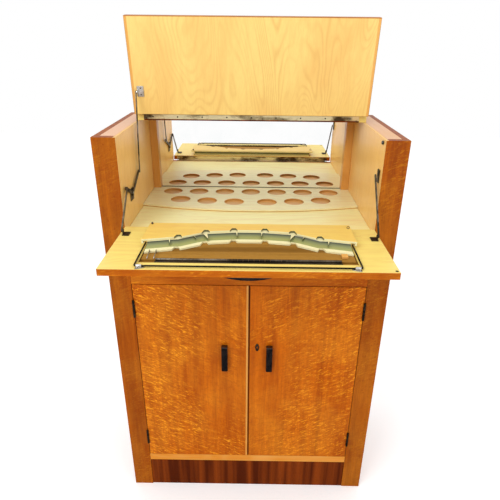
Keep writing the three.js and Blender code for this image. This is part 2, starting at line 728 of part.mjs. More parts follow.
function addHandle(name, centreX) {
  const half = HANDLE.width / 2;
  const r = HANDLE.corner;
  const front = -JOINT - HANDLE.depth;
  const plan = new THREE.Shape();
  plan.moveTo(-half, -JOINT);
  plan.lineTo(-half, front + r);
  plan.absarc(-half + r, front + r, r, Math.PI, 1.5 * Math.PI);
  plan.absarc(half - r, front + r, r, 1.5 * Math.PI, 2 * Math.PI);
  plan.lineTo(half, -JOINT);
  const foot = HANDLE.centreZ - HANDLE.height / 2;
  const bar = extruded(plan, HANDLE.height, HANDLE.steps).translate(centreX, 0, foot);
  addPiece(name + "_handle", bar, blackGloss);
}

function addDoorFittings() {
  const strip = [leftDoorEdge + JOINT, leftDoorEdge + JOINT + MEETING_STRIP];
  const stripY = [MEETING_STRIP_SETBACK, BOARD];
  addPiece("meeting_strip", block(strip, stripY, [doorBottom, DOOR_TOP]), mahogany);
  addHandle("left", leftDoorEdge - HANDLE_INSET_LEFT);
  addHandle("right", rightDoorEdge + HANDLE_INSET_RIGHT);

  const centreX = rightDoorEdge + ESCUTCHEON.inset;
  const { width, height, centreZ } = ESCUTCHEON;
  const oval = new THREE.Shape();
  oval.absellipse(centreX, centreZ, width / 2, height / 2, 0, 2 * Math.PI);
  const keyhole = new THREE.Path();
  keyhole.absellipse(centreX, centreZ, KEYHOLE.width / 2, KEYHOLE.height / 2, 0, 2 * Math.PI, true);
  oval.holes.push(keyhole);
  addPiece("escutcheon", prismAlongY(oval, -JOINT - ESCUTCHEON.thick, -JOINT), brass);

  const lockX = [rightDoorEdge + LOCK.inset, rightDoorEdge + LOCK.inset + LOCK.width];
  const lockZ = [centreZ - LOCK.height / 2, centreZ + LOCK.height / 2];
  addPiece("door_lock", block(lockX, [BOARD + JOINT, BOARD + JOINT + LOCK.thick], lockZ), brass);
}

// Assembly ---------------------------------------------------------------------------------------

addSide("left", -1);
addSide("right", 1);
addCarcass();
addMirror();
addGlassTray();
addFixedTop();
addLid();
addLinkage();
addStay();
addFlap();
addWellBoard();
addGallery();
addBail();
addDoor("left", -1, leftDoorEdge);
addDoor("right", 1, rightDoorEdge);
addDoorFittings();

cabinet.position.y = -(DEPTH - flapReach) / 2;
const part = new THREE.Group();
part.add(cabinet);

export default part;
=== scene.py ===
"""A cocktail cabinet: veneered cupboard, mirrored drinks compartment, drop flap and rising lid.

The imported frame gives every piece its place. Each operator below dresses one group of pieces: the
panels get rounded edges and figured veneers, and the hinges, screws and rivets are made by
Geometry Nodes. Lengths inside the operators are millimetres from the cabinet's front plane.
"""

import json
import math

import bmesh
import bpy
from mathutils import Matrix, Vector

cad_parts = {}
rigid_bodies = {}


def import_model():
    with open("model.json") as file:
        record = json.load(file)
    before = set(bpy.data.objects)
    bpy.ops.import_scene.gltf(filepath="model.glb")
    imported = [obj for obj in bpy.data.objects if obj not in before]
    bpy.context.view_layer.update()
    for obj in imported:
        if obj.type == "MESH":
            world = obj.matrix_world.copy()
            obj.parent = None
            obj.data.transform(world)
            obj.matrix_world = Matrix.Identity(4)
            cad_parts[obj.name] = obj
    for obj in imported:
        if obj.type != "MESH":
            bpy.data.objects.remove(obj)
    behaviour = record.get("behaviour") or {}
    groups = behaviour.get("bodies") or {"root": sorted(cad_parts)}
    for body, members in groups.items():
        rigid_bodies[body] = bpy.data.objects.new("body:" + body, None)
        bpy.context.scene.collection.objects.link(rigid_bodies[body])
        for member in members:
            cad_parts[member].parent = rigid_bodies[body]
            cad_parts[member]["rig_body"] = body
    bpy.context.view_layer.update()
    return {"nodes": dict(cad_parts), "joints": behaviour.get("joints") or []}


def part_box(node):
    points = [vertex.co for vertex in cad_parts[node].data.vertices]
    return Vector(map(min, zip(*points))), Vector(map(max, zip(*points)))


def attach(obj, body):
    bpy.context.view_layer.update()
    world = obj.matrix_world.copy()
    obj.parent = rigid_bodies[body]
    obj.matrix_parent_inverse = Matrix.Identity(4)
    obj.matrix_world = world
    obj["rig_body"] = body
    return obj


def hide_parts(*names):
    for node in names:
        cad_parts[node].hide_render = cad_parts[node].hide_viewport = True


bl_info = {
    "name": "Cocktail Cabinet",
    "version": (1, 0, 0),
    "blender": (4, 5, 0),
    "location": "3D View > Sidebar > Cabinet",
    "description": "Dresses a two-door cocktail cabinet with its veneers, mirror and fittings",
    "category": "Object",
}

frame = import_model()
JOINTS = {joint["name"]: joint for joint in frame["joints"]}
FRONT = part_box("apron_panel")[0].y
MM = 0.001


def at(x, y, z):
    """A point in the frame, from millimetres right of the middle, behind the front and up."""
    return Vector((x * MM, FRONT + y * MM, z * MM))


def pin_of(joint):
    """The point that a joint turns about at rest."""
    return Vector(JOINTS[joint]["pos_m"])


# Sizes and colours ------------------------------------------------------------------------------


def colour(name, description, default):
    return bpy.props.FloatVectorProperty(
        name=name, description=description, default=default, size=3, min=0, max=1, subtype="COLOR"
    )


def length(name, description, default):
    return bpy.props.FloatProperty(
        name=name, description=description, default=default * MM, min=0, unit="LENGTH"
    )


class CabinetColours(bpy.types.PropertyGroup):
    """Base colours of the finishes"""

    veneer: colour("Veneer", "Polished ground of the figured veneer", (0.60, 0.136, 0.001))
    veneer_dark: colour(
        "Veneer shade", "Darker streaks of the figured veneer", (0.32, 0.055, 0.001)
    )
    veneer_fleck: colour("Veneer fleck", "Bright flecks of the figured veneer", (0.95, 0.36, 0.012))
    maple: colour("Maple", "Pale maple of the drinks compartment", (0.97, 0.70, 0.215))
    maple_dark: colour("Maple grain", "Growth lines of the pale maple", (0.74, 0.40, 0.10))
    maple_blush: colour("Maple blush", "Warmer patches of the pale maple", (0.86, 0.45, 0.12))
    lipping: colour("Lipping", "Solid wood strips on panel edges", (0.74, 0.36, 0.075))
    cap: colour("Cap", "Glossy top of the sides", (0.86, 0.52, 0.34))
    mahogany: colour("Mahogany", "Dark plinth and closing strip", (0.085, 0.012, 0.001))
    green: colour("Green paint", "Enamel of the hollow gallery front", (0.42, 0.46, 0.16))
    brass: colour("Brass", "Bright parts of the long hinges", (0.84, 0.71, 0.42))
    bronze: colour("Bronze", "Darkened steel of the linkage", (0.05, 0.038, 0.026))


class CabinetSizes(bpy.types.PropertyGroup):
    """Small sizes that the frame doesn't carry"""

    panel_edge: length("Panel edge", "Rounding of the wooden edges", 0.8)
    metal_edge: length("Metal edge", "Rounding of the flat metal edges", 0.35)
    knuckle_pitch: length("Knuckle pitch", "Length of one knuckle of the long hinges", 12.0)
    screw_radius: length("Screw radius", "Radius of the hinge screws' heads", 2.5)
    rivet_radius: length("Rivet radius", "Radius of the linkage rivets' heads", 3.2)
    door_lipping: length("Door lipping", "Pale strip down the left door's meeting edge", 5.3)
    lid_lipping: length("Lid lipping", "Solid strip at each end of the lid", 7.5)


# Materials --------------------------------------------------------------------------------------


def add(tree, kind, inputs=None, **settings):
    """Adds a node. An input is given a value, or linked if it is a socket."""
    node = tree.nodes.new(kind)
    for key, value in settings.items():
        setattr(node, key, value)
    for key, value in (inputs or {}).items():
        if isinstance(value, bpy.types.NodeSocket):
            tree.links.new(value, node.inputs[key])
        else:
            node.inputs[key].default_value = value
    return node


def compute(tree, operation, a, b=0.0, c=0.0):
    node = add(tree, "ShaderNodeMath", {0: a, 1: b, 2: c}, operation=operation)
    return node.outputs[0]


def blend(tree, factor, a, b):
    """Mixes two colours by a factor."""
    pair = [(*c, 1) if isinstance(c, (tuple, list)) and len(c) == 3 else c for c in (a, b)]
    inputs = {0: factor, 6: pair[0], 7: pair[1]}
    return add(tree, "ShaderNodeMix", inputs, data_type="RGBA").outputs[2]


def scaled(tree, value, low, high, to_low=0.0, to_high=1.0):
    """Maps a value from one range to another and holds it there."""
    node = add(tree, "ShaderNodeMapRange", {0: value, 1: low, 2: high, 3: to_low, 4: to_high})
    return node.outputs[0]


def stretched(tree, scale, turn=(0, 0, 0), shift=(0, 0, 0)):
    """Object coordinates, turned and then scaled on each axis."""
    coordinates = add(tree, "ShaderNodeTexCoord").outputs["Object"]
    inputs = {"Vector": coordinates, "Rotation": turn, "Location": shift}
    turned = add(tree, "ShaderNodeMapping", inputs).outputs[0]
    inputs = {0: turned, 1: scale}
    return add(tree, "ShaderNodeVectorMath", inputs, operation="MULTIPLY").outputs[0]


def noise(tree, vector, detail=2.0, roughness=0.5, distortion=0.0):
    inputs = {"Vector": vector, "Scale": 1.0, "Detail": detail, "Roughness": roughness}
    inputs["Distortion"] = distortion
    return add(tree, "ShaderNodeTexNoise", inputs).outputs["Fac"]


def start_material(name, specular=0.5, **shader_inputs):
    """A new material, its node tree and its shader. specular is how far a clear coat glints."""
    material = bpy.data.materials.new(name)
    material.use_nodes = True
    shader = material.node_tree.nodes["Principled BSDF"]
    shader.inputs["Specular IOR Level"].default_value = specular
    for key, value in shader_inputs.items():
        shader.inputs[key.replace("_", " ").title()].default_value = value
    return material, material.node_tree, shader


def connect(tree, shader, colour_socket, roughness, height=None, depth=0.0, strength=0.5):
    """Wires the colour and the roughness, and the height as bumps of that depth in metres."""
    tree.links.new(colour_socket, shader.inputs["Base Color"])
    tree.links.new(roughness, shader.inputs["Roughness"])
    if height is not None:
        inputs = {"Height": height, "Distance": depth, "Strength": strength}
        bump = add(tree, "ShaderNodeBump", inputs)
        tree.links.new(bump.outputs[0], shader.inputs["Normal"])


def along(grain, across, lengthwise):
    """A scale that is fine across the grain axis and coarse along it."""
    return tuple(lengthwise if axis == grain else across for axis in "XYZ")


def make_veneer(
    name, colours, grain="Z", flecks=1.0, eyes=1.0, slant=25.0, shift=(0, 0, 0), side=0, tone=1.0
):
    """Polished bird's-eye veneer: streaks along the grain, slanting bright curls and small eyes.

    flecks and eyes scale the curls and the eyes, slant leans the curls by so many degrees, shift
    moves the figure and tone scales the colours. side is -1 or 1 where the curls crowd towards the
    left or the right, as on a bookmatched pair.
    """
    material, tree, shader = start_material(name, 0.1, coat_weight=0.03, coat_roughness=0.08)
    streaks = noise(tree, stretched(tree, along(grain, 48, 2.5), shift=shift), 4, 0.62, 0.4)
    fibres = noise(tree, stretched(tree, along(grain, 620, 26), shift=shift), 3, 0.65)
    clouds = noise(tree, stretched(tree, (7, 7, 5), shift=shift), 3, 0.55, 0.6)
    lean = math.radians(slant)
    curl_space = stretched(tree, (46, 80, 235), (0, lean, 0), shift)
    curl = noise(tree, curl_space, 2.5, 0.55, 1.3)
    mottle = noise(tree, stretched(tree, (85, 85, 120), (0, lean, 0), shift), 2, 0.6, 1.0)
    zones = noise(tree, stretched(tree, (8, 8, 5.5), shift=(1.7, 0.4, 2.2)), 2)
    if side:
        place = add(tree, "ShaderNodeTexCoord").outputs["Object"]
        across = add(tree, "ShaderNodeSeparateXYZ", {0: place}).outputs[0]
        crowd = scaled(tree, across, 0.0, side * 0.3, -0.1, 0.14)
        zones = compute(tree, "ADD", zones, crowd)
    zones = scaled(tree, zones, 0.36, 0.62)
    bright = compute(tree, "MULTIPLY", scaled(tree, curl, 0.55, 0.64), zones)
    dim = scaled(tree, zones, 0, 1, 0.35, 1)
    shade = compute(tree, "MULTIPLY", scaled(tree, curl, 0.46, 0.34), dim)
    cells = add(
        tree,
        "ShaderNodeTexVoronoi",
        {"Vector": stretched(tree, (105, 105, 105), shift=shift), "Scale": 1.0, "Randomness": 1.0},
    )
    kept = scaled(tree, cells.outputs["Color"], 0.62, 0.66)
    eye = compute(tree, "MULTIPLY", scaled(tree, cells.outputs["Distance"], 0.3, 0.12), kept)
    ground, dark, fleck = (
        tuple(tone * channel for channel in paint)
        for paint in (colours.veneer, colours.veneer_dark, colours.veneer_fleck)
    )
    base = blend(tree, scaled(tree, streaks, 0.36, 0.7), ground, dark)
    base = blend(tree, scaled(tree, clouds, 0.4, 0.7, 0.0, 0.3), base, fleck)
    base = blend(tree, scaled(tree, mottle, 0.5, 0.75, 0.0, 0.5 * flecks), base, dark)
    base = blend(tree, compute(tree, "MULTIPLY", shade, 0.7 * flecks), base, dark)
    base = blend(tree, compute(tree, "MULTIPLY", bright, 0.95 * flecks), base, fleck)
    base = blend(tree, compute(tree, "MULTIPLY", eye, 0.6 * eyes), base, dark)
    base = blend(tree, scaled(tree, fibres, 0.35, 0.75, 0.0, 0.45), base, dark)
    rough = scaled(tree, clouds, 0.3, 0.7, 0.28, 0.42)
    connect(tree, shader, base, rough, compute(tree, "ADD", fibres, bright), 0.00012, 0.3)
    return material


def make_maple(
    name, colours, grain="Z", rings=9.0, warm=0.5, tint=None, shift=(0, 0, 0), lines=0.25
):
    """Satin maple: faint growth lines that close into arches, fine fibres and warmer patches.

    rings is how close the growth lines lie and lines how dark they are, warm is how strong the
    patches are, and tint takes the place of the plain maple colour.
    """
    material, tree, shader = start_material(name, 0.3, coat_weight=0.08, coat_roughness=0.15)
    ground = tuple(tint or colours.maple[:])
    log = noise(tree, stretched(tree, along(grain, 7.0, 1.7), shift=shift), 2, 0.4, 0.5)
    wave = compute(tree, "SINE", compute(tree, "MULTIPLY", log, rings * 6 * math.pi))
    line = compute(tree, "POWER", scaled(tree, wave, -1, 1), 3.0)
    bold = noise(tree, stretched(tree, along(grain, 14, 2.5), shift=shift), 2)
    line = compute(tree, "MULTIPLY", line, scaled(tree, bold, 0.4, 0.65, 0.25, 1.0))
    fibres = noise(tree, stretched(tree, along(grain, 520, 12), shift=shift), 4, 0.7)
    streaks = noise(tree, stretched(tree, along(grain, 90, 2), shift=shift), 3, 0.6)
    patches = noise(tree, stretched(tree, along(grain, 8, 3), shift=shift), 3, 0.55, 0.8)
    base = blend(tree, scaled(tree, patches, 0.45, 0.75, 0.0, warm), ground, colours.maple_blush[:])
    base = blend(tree, compute(tree, "MULTIPLY", line, lines), base, colours.maple_dark[:])
    base = blend(tree, scaled(tree, streaks, 0.45, 0.75, 0.0, 0.22), base, colours.maple_dark[:])
    base = blend(tree, scaled(tree, fibres, 0.45, 0.8, 0.0, 0.35), base, colours.maple_dark[:])
    rough = scaled(tree, fibres, 0.3, 0.7, 0.26, 0.4)
    connect(tree, shader, base, rough, fibres, 0.0001, 0.3)
    return material


def make_striped(name, dark, light, grain="Z", stripes=38.0):
    """Straight-grained wood with bold stripes and open pores."""
    material, tree, shader = start_material(name, 0.05, coat_weight=0.02, coat_roughness=0.25)
    band = noise(tree, stretched(tree, along(grain, stripes, 0.8)), 3, 0.6, 0.2)
    pores = noise(tree, stretched(tree, along(grain, 1100, 60)), 2, 0.7)
    base = blend(tree, scaled(tree, band, 0.4, 0.62), tuple(dark), tuple(light))
    base = blend(
        tree, scaled(tree, pores, 0.52, 0.75, 0.0, 0.5), base, tuple(0.4 * c for c in dark)
    )
    connect(tree, shader, base, scaled(tree, pores, 0.3, 0.7, 0.34, 0.5), pores, 0.0002)
    return material


def make_plywood(name, face, edge):
    """Bare plywood: broad rotary grain on the face, with knots' shadows and rough fibres."""
    material, tree, shader = start_material(name)
    turned = noise(tree, stretched(tree, (5, 40, 1.5)), 3, 0.6, 1.2)
    fibres = noise(tree, stretched(tree, (300, 300, 14)), 4, 0.7)
    base = blend(tree, scaled(tree, turned, 0.35, 0.65), tuple(face), tuple(edge))
    base = blend(tree, scaled(tree, fibres, 0.4, 0.8, 0, 0.5), base, tuple(0.55 * c for c in edge))
    connect(tree, shader, base, scaled(tree, fibres, 0.2, 0.8, 0.6, 0.85), fibres, 0.0003)
    return material


def make_metal(name, clean_and_bright_reflection, tarnish_and_dark_reflection, amount=0.5, gloss=0.25):
    """Old metal: brushed along its length, with tarnish spots and long patches of painted
    reflection along X that dull and darken it in places.

    amount is how much of it takes the dark tone of tarnish and painted reflection, and gloss is the
    roughness where it is clean.
    """
    material, tree, shader = start_material(name, metallic=1.0)
    brushed = noise(tree, stretched(tree, along("X", 1600, 50)), 2, 0.6)
    spots = noise(tree, stretched(tree, (55, 90, 90)), 5, 0.62, 0.8)
    # Long patches along X are painted bright and dark reflection; worn mixes them with the real
    # tarnish spots.
    reflection_bands = noise(tree, stretched(tree, along("X", 30, 11)), 2, 0.5)
    worn = compute(tree, "MULTIPLY_ADD", reflection_bands, 0.75, compute(tree, "MULTIPLY", spots, 0.25))
    mask = scaled(tree, worn, 0.62 - 0.28 * amount, 0.72 - 0.2 * amount)
    base = blend(tree, mask, tuple(clean_and_bright_reflection), tuple(tarnish_and_dark_reflection))
    base = blend(
        tree, scaled(tree, brushed, 0.4, 0.8, 0, 0.35), base, tuple(0.6 * c for c in tarnish_and_dark_reflection)
    )
    rough = scaled(tree, mask, 0, 1, gloss, gloss + 0.28)
    rough = compute(tree, "ADD", rough, compute(tree, "MULTIPLY", brushed, 0.1))
    connect(tree, shader, base, rough, brushed, 0.00005, 0.3)
    return material


def make_resin(name):
    """Black moulded resin with a deep polish, faint swirls and dust-fine scratches."""
    material, tree, shader = start_material(name, coat_weight=0.6, coat_roughness=0.05)
    swirl = noise(tree, stretched(tree, (60, 60, 25)), 4, 0.6, 2.0)
    scratch = noise(tree, stretched(tree, (900, 900, 60)), 2, 0.6)
    base = blend(tree, scaled(tree, swirl, 0.4, 0.7), (0.006, 0.005, 0.006), (0.022, 0.014, 0.012))
    connect(tree, shader, base, scaled(tree, scratch, 0.4, 0.8, 0.12, 0.3), scratch, 0.00003, 0.2)
    return material


def make_silvering(name):
    """Silvered glass, slightly dull in places as old silvering is."""
    material, tree, shader = start_material(name, metallic=1.0)
    haze = noise(tree, stretched(tree, (14, 14, 14)), 4, 0.6, 0.4)
    specks = noise(tree, stretched(tree, (260, 260, 260)), 2, 0.5)
    base = blend(tree, scaled(tree, haze, 0.4, 0.75), (0.99, 0.99, 0.99), (0.95, 0.96, 0.96))
    base = blend(tree, scaled(tree, specks, 0.74, 0.8, 0, 0.5), base, (0.35, 0.33, 0.3))
    connect(tree, shader, base, scaled(tree, haze, 0.4, 0.8, 0.004, 0.03))
    return material


def make_enamel(name, ground, worn, heights=None):
    """Brushed enamel: soft brush lines and a little yellowing.

    heights, where given, are the bottom and the top of a piece that is painted darker towards its
    top, as painted shade under the board above it.
    """
    material, tree, shader = start_material(name, coat_weight=0.25, coat_roughness=0.15)
    strokes = noise(tree, stretched(tree, (20, 260, 260)), 3, 0.6)
    yellow = noise(tree, stretched(tree, (18, 40, 40)), 3, 0.6, 0.6)
    base = blend(tree, scaled(tree, yellow, 0.4, 0.7, 0, 0.6), tuple(ground), tuple(worn))
    base = blend(
        tree, scaled(tree, strokes, 0.4, 0.7, 0, 0.22), base, tuple(0.7 * c for c in ground)
    )
    if heights:
        place = add(tree, "ShaderNodeTexCoord").outputs["Object"]
        height = add(tree, "ShaderNodeSeparateXYZ", {0: place}).outputs[2]
        # Painted shade: the enamel darkens towards the top of the piece, as under the gallery's top
        # board.
        painted_shade = scaled(tree, height, *heights, -0.35, 1.25)
        base = blend(tree, painted_shade, base, tuple(0.12 * c for c in ground))
    connect(tree, shader, base, scaled(tree, strokes, 0.3, 0.7, 0.28, 0.42), strokes, 0.00015)
    return material


def make_floor(name):
    """Pale seamless studio floor with a barely visible mottle."""
    material, tree, shader = start_material(
        name, emission_color=(1, 1, 1, 1), emission_strength=0.22
    )
    mottle = noise(tree, stretched(tree, (3, 3, 3)), 4, 0.6)
    base = blend(tree, mottle, (0.93, 0.93, 0.93), (0.9, 0.9, 0.9))
    connect(tree, shader, base, scaled(tree, mottle, 0, 1, 0.8, 0.9))
    return material


def finish(kind):
    """The material of that kind, made when it is first asked for.

    The frame has materials named in lower case after its slots, so these names are capitalised.
    """
    name = kind.capitalize()
    made = bpy.data.materials.get(name)
    if made:
        return made
    tones = bpy.context.scene.cabinet_colours
    cove_heights = [corner.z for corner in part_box("gallery_cove")]
    recipes = {
        "left door veneer": lambda: make_veneer(name, tones, "Z", 1.0, 0.4, -24, side=-1),
        "right door veneer": lambda: make_veneer(name, tones, "Z", 0.9, 0.4, 24, (4, 2, 6), 1),
        "upright veneer": lambda: make_veneer(
            name, tones, "Z", 0.45, 1.0, shift=(0.3, 0.1, 0.2), tone=0.7
        ),
        "cross veneer": lambda: make_veneer(
            name, tones, "X", 0.5, 0.4, 8, (0.7, 0.2, 0.9), tone=0.9
        ),
        "rail veneer": lambda: make_maple(name, tones, "X", 6, 0.8, (0.70, 0.235, 0.012)),
        "lid maple": lambda: make_maple(
            name, tones, "Z", 11, 0.6, (0.92, 0.66, 0.21), (0.2, 0, 0), 0.48
        ),
        # Darker maple painted as the shade on the floor under the glass tray.
        "painted shade under tray": lambda: make_maple(name, tones, "X", 8, 0.8, (0.72, 0.42, 0.15), (1, 2, 7)),
        "wall maple": lambda: make_maple(name, tones, "Z", 8, 0.5, (0.98, 0.62, 0.20), (3, 5, 1)),
        "floor maple": lambda: make_maple(
            name, tones, "X", 8, 0.25, (0.99, 0.97, 0.50), (1, 2, 7), 0.15
        ),
        "tray maple": lambda: make_maple(
            name, tones, "X", 7, 0.15, (0.99, 0.97, 0.56), (5, 1, 3), 0.12
        ),
        "flap maple": lambda: make_maple(
            name, tones, "X", 7, 0.2, (0.94, 0.76, 0.21), (5, 1, 3), 0.2
        ),
        "gallery maple": lambda: make_maple(
            name, tones, "X", 7, 0.4, (0.90, 0.64, 0.15), (2, 1, 9), 0.2
        ),
        "cream edge": lambda: make_enamel(name, (0.93, 0.88, 0.52), (0.85, 0.72, 0.36)),
        # Dark maple painted as shade on the tray's hole walls, rounded edges and lower front edge.
        "painted tray shade": lambda: make_maple(name, tones, "X", 9, 0.9, (0.42, 0.19, 0.045), (2, 8, 4)),
        "strip maple": lambda: make_maple(
            name, tones, "Z", 16, 0.9, (0.62, 0.25, 0.04), (2, 8, 4), 0.6
        ),
        "lipping": lambda: make_maple(name, tones, "Z", 6, 0.7, tones.lipping[:], (9, 1, 6)),
        "lid edge": lambda: make_maple(name, tones, "X", 6, 0.7, (0.24, 0.10, 0.03)),
        "tray edge line": lambda: make_striped(name, (0.03, 0.014, 0.006), (0.07, 0.03, 0.01), "X"),
        "door lipping": lambda: make_maple(name, tones, "Z", 6, 0.2, (0.66, 0.27, 0.04), (9, 1, 6)),
        "cap veneer": lambda: make_maple(name, tones, "Y", 7, 0.5, tones.cap[:], (6, 3, 2)),
        "mahogany": lambda: make_striped(name, tones.mahogany[:], (0.24, 0.042, 0.002), "Z", 24.0),
        "well wood": lambda: make_striped(
            name, (0.22, 0.10, 0.014), (0.40, 0.20, 0.035), "X", 30.0
        ),
        "plywood": lambda: make_plywood(name, (0.55, 0.36, 0.17), (0.42, 0.25, 0.11)),
        "brass": lambda: make_metal(name, tones.brass[:], (0.10, 0.066, 0.035), 0.5),
        "worn nickel": lambda: make_enamel(name, (0.95, 0.90, 0.70), (0.78, 0.68, 0.44)),
        "dark steel": lambda: make_metal(name, (0.07, 0.06, 0.045), (0.02, 0.017, 0.012), 0.9, 0.3),
        "bronze": lambda: make_metal(name, (0.24, 0.20, 0.155), tones.bronze[:], 0.9, 0.24),
        "plate": lambda: make_metal(name, (0.72, 0.7, 0.66), (0.3, 0.27, 0.22), 0.35, 0.18),
        "black resin": lambda: make_resin(name),
        "silvering": lambda: make_silvering(name),
        "green enamel": lambda: make_enamel(
            name, tones.green[:], (0.46, 0.48, 0.17), cove_heights
        ),
        # Dark green enamel painted as the shade inside the gallery's notches.
        "notch shade enamel": lambda: make_enamel(name, (0.09, 0.10, 0.045), (0.14, 0.14, 0.06)),
        "floor": lambda: make_floor(name),
    }
    return recipes[kind]()


# Mesh helpers -----------------------------------------------------------------------------------


def new_object(name, mesh):
    """An object of the mesh, linked to the scene."""
    piece = bpy.data.objects.new(name, mesh)
    bpy.context.scene.collection.objects.link(piece)
    return piece


def round_edges(piece, width, edge_finish=-1):
    """Rounds the edges; edge_finish is the index of the finish that the rounding takes."""
    piece.data.shade_smooth()
    bevel = piece.modifiers.new("Rounded edges", "BEVEL")
    bevel.width = width
    bevel.segments = 2
    bevel.limit_method = "ANGLE"
    bevel.angle_limit = math.radians(32)
    bevel.harden_normals = True
    bevel.material = edge_finish
    return piece


def body_of(node):
    """The body that carries a CAD node."""
    return frame["nodes"][node]["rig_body"]


def dressed(node, finishes, width, choose=None, cuts=(), edge_finish=-1):
    """A copy of a CAD node with rounded edges, shown in its place.

    cuts are (point, normal) planes that divide its faces, and choose(centre, normal) says which of
    the finishes a face takes. edge_finish is the index of the finish on the rounded edges.
    """
    source = frame["nodes"][node].data
    mesh = bpy.data.meshes.new(node + "_shape")
    mesh.from_pydata([v.co for v in source.vertices], [], [p.vertices[:] for p in source.polygons])
    shape = bmesh.new()
    shape.from_mesh(mesh)
    bmesh.ops.remove_doubles(shape, verts=shape.verts, dist=1e-6)
    flat = math.radians(0.5)
    bmesh.ops.dissolve_limit(shape, angle_limit=flat, verts=shape.verts, edges=shape.edges)
    for point, normal in cuts:
        everything = shape.verts[:] + shape.edges[:] + shape.faces[:]
        bmesh.ops.bisect_plane(shape, geom=everything, plane_co=point, plane_no=normal)
    if choose:
        for face in shape.faces:
            face.material_index = choose(face.calc_center_median(), face.normal)
    shape.to_mesh(mesh)
    shape.free()
    for name in finishes:
        mesh.materials.append(finish(name))
    piece = round_edges(new_object(node + "_dressed", mesh), width, edge_finish=edge_finish)
    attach(piece, body_of(node))
    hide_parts(node)
    return piece


def added(name, mesh, finish_name, body, width=None):
    """A new piece that rides on a body. width, where given, is the rounding of its edges."""
    mesh.materials.append(finish(finish_name))
    piece = new_object(name, mesh)
    if width:
        round_edges(piece, width)
    else:
        mesh.shade_smooth()
    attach(piece, body)
    return piece


def skin(name, rings, place=(0, 0, 0), axis=(0, 0, 1), closed=False):
    """A mesh of faces between rings of points, with flat ends unless the rings run round."""
    shape = bmesh.new()
    rings = [[shape.verts.new(point) for point in ring] for ring in rings]
    count = len(rings[0])
    pairs = list(zip(rings, rings[1:])) + ([(rings[-1], rings[0])] if closed else [])
    for low, high in pairs:
        for step in range(count):
            after = (step + 1) % count
            shape.faces.new((low[step], low[after], high[after], high[step]))
    if not closed:
        shape.faces.new(rings[0][::-1])
        shape.faces.new(rings[-1])
    return placed(name, shape, place, axis)


def around(sides):
    """The cosine and the sine of each corner of a regular ring."""
    angles = [2 * math.pi * step / sides for step in range(sides)]
    return [(math.cos(angle), math.sin(angle)) for angle in angles]


def turned_profile(name, profile, place, axis):
    """A mesh turned about an axis through place, from (radius, height) points in millimetres."""
    rings = [
        [Vector((radius * cosine, radius * sine, height)) * MM for cosine, sine in around(28)]
        for radius, height in profile
    ]
    return skin(name, rings, place, axis)


def block(name, low, high):
    """A box between two opposite corners."""
    shape = bmesh.new()
    bmesh.ops.create_cube(shape, size=1.0)
    corners = (low, high)
    for vertex in shape.verts:
        vertex.co = [corners[int(vertex.co[axis] > 0)][axis] for axis in range(3)]
    return placed(name, shape, (0, 0, 0))


def placed(name, shape, place, axis=(0, 0, 1)):
    """Turns a shape's own Z to an axis, moves it to its place and makes it a mesh."""
    turn = Vector((0, 0, 1)).rotation_difference(Vector(axis)).to_matrix().to_4x4()
    shape.transform(Matrix.Translation(place) @ turn)
    bmesh.ops.recalc_face_normals(shape, faces=shape.faces[:])
    mesh = bpy.data.meshes.new(name)
    shape.to_mesh(mesh)
    shape.free()
    return mesh


def bent_rod(name, points, radius, closed=False):
    """A round rod through points, with flat ends unless it runs round."""
    count = len(points)
    rings = []
    for index, point in enumerate(points):
        before = points[index - 1] if index or closed else points[0]
        after = points[(index + 1) % count] if index < count - 1 or closed else points[-1]
        forward = (after - before).normalized()
        side = forward.cross(Vector((0.3, 0.1, 1))).normalized()
        lift = side.cross(forward)
        rings.append(
            [point + radius * (cosine * side + sine * lift) for cosine, sine in around(12)]
        )
    return skin(name, rings, closed=closed)


# Geometry Nodes ---------------------------------------------------------------------------------


def start_tree(name, inputs):
    """A Geometry Nodes tree with a Geometry input and output and the named inputs."""
    tree = bpy.data.node_groups.new(name, "GeometryNodeTree")
    tree.interface.new_socket("Geometry", in_out="INPUT", socket_type="NodeSocketGeometry")
    for label, kind in inputs:
        tree.interface.new_socket(label, in_out="INPUT", socket_type="NodeSocket" + kind)
    tree.interface.new_socket("Geometry", in_out="OUTPUT", socket_type="NodeSocketGeometry")
    source = tree.nodes.new("NodeGroupInput").outputs
    return tree, source


def end_tree(tree, geometry, material):
    """Makes the instances real, coats them and sends them out."""
    real = add(tree, "GeometryNodeRealizeInstances", {0: geometry})
    coated = add(
        tree, "GeometryNodeSetMaterial", {"Geometry": real.outputs[0], "Material": material}
    )
    add(tree, "NodeGroupOutput", {0: coated.outputs[0]})
    return tree


def vector_of(tree, x=0.0, y=0.0, z=0.0):
    """A vector from three lengths or sockets."""
    return add(tree, "ShaderNodeCombineXYZ", {0: x, 1: y, 2: z}).outputs[0]


def moved(tree, geometry, offset=(0, 0, 0), turn=(0, 0, 0), scale=(1, 1, 1)):
    """The geometry scaled, turned and moved."""
    inputs = {"Geometry": geometry, "Translation": offset, "Rotation": turn, "Scale": scale}
    return add(tree, "GeometryNodeTransform", inputs).outputs[0]


def joined(tree, *geometries):
    """Several geometries as one."""
    node = tree.nodes.new("GeometryNodeJoinGeometry")
    for geometry in geometries:
        tree.links.new(geometry, node.inputs[0])
    return node.outputs[0]


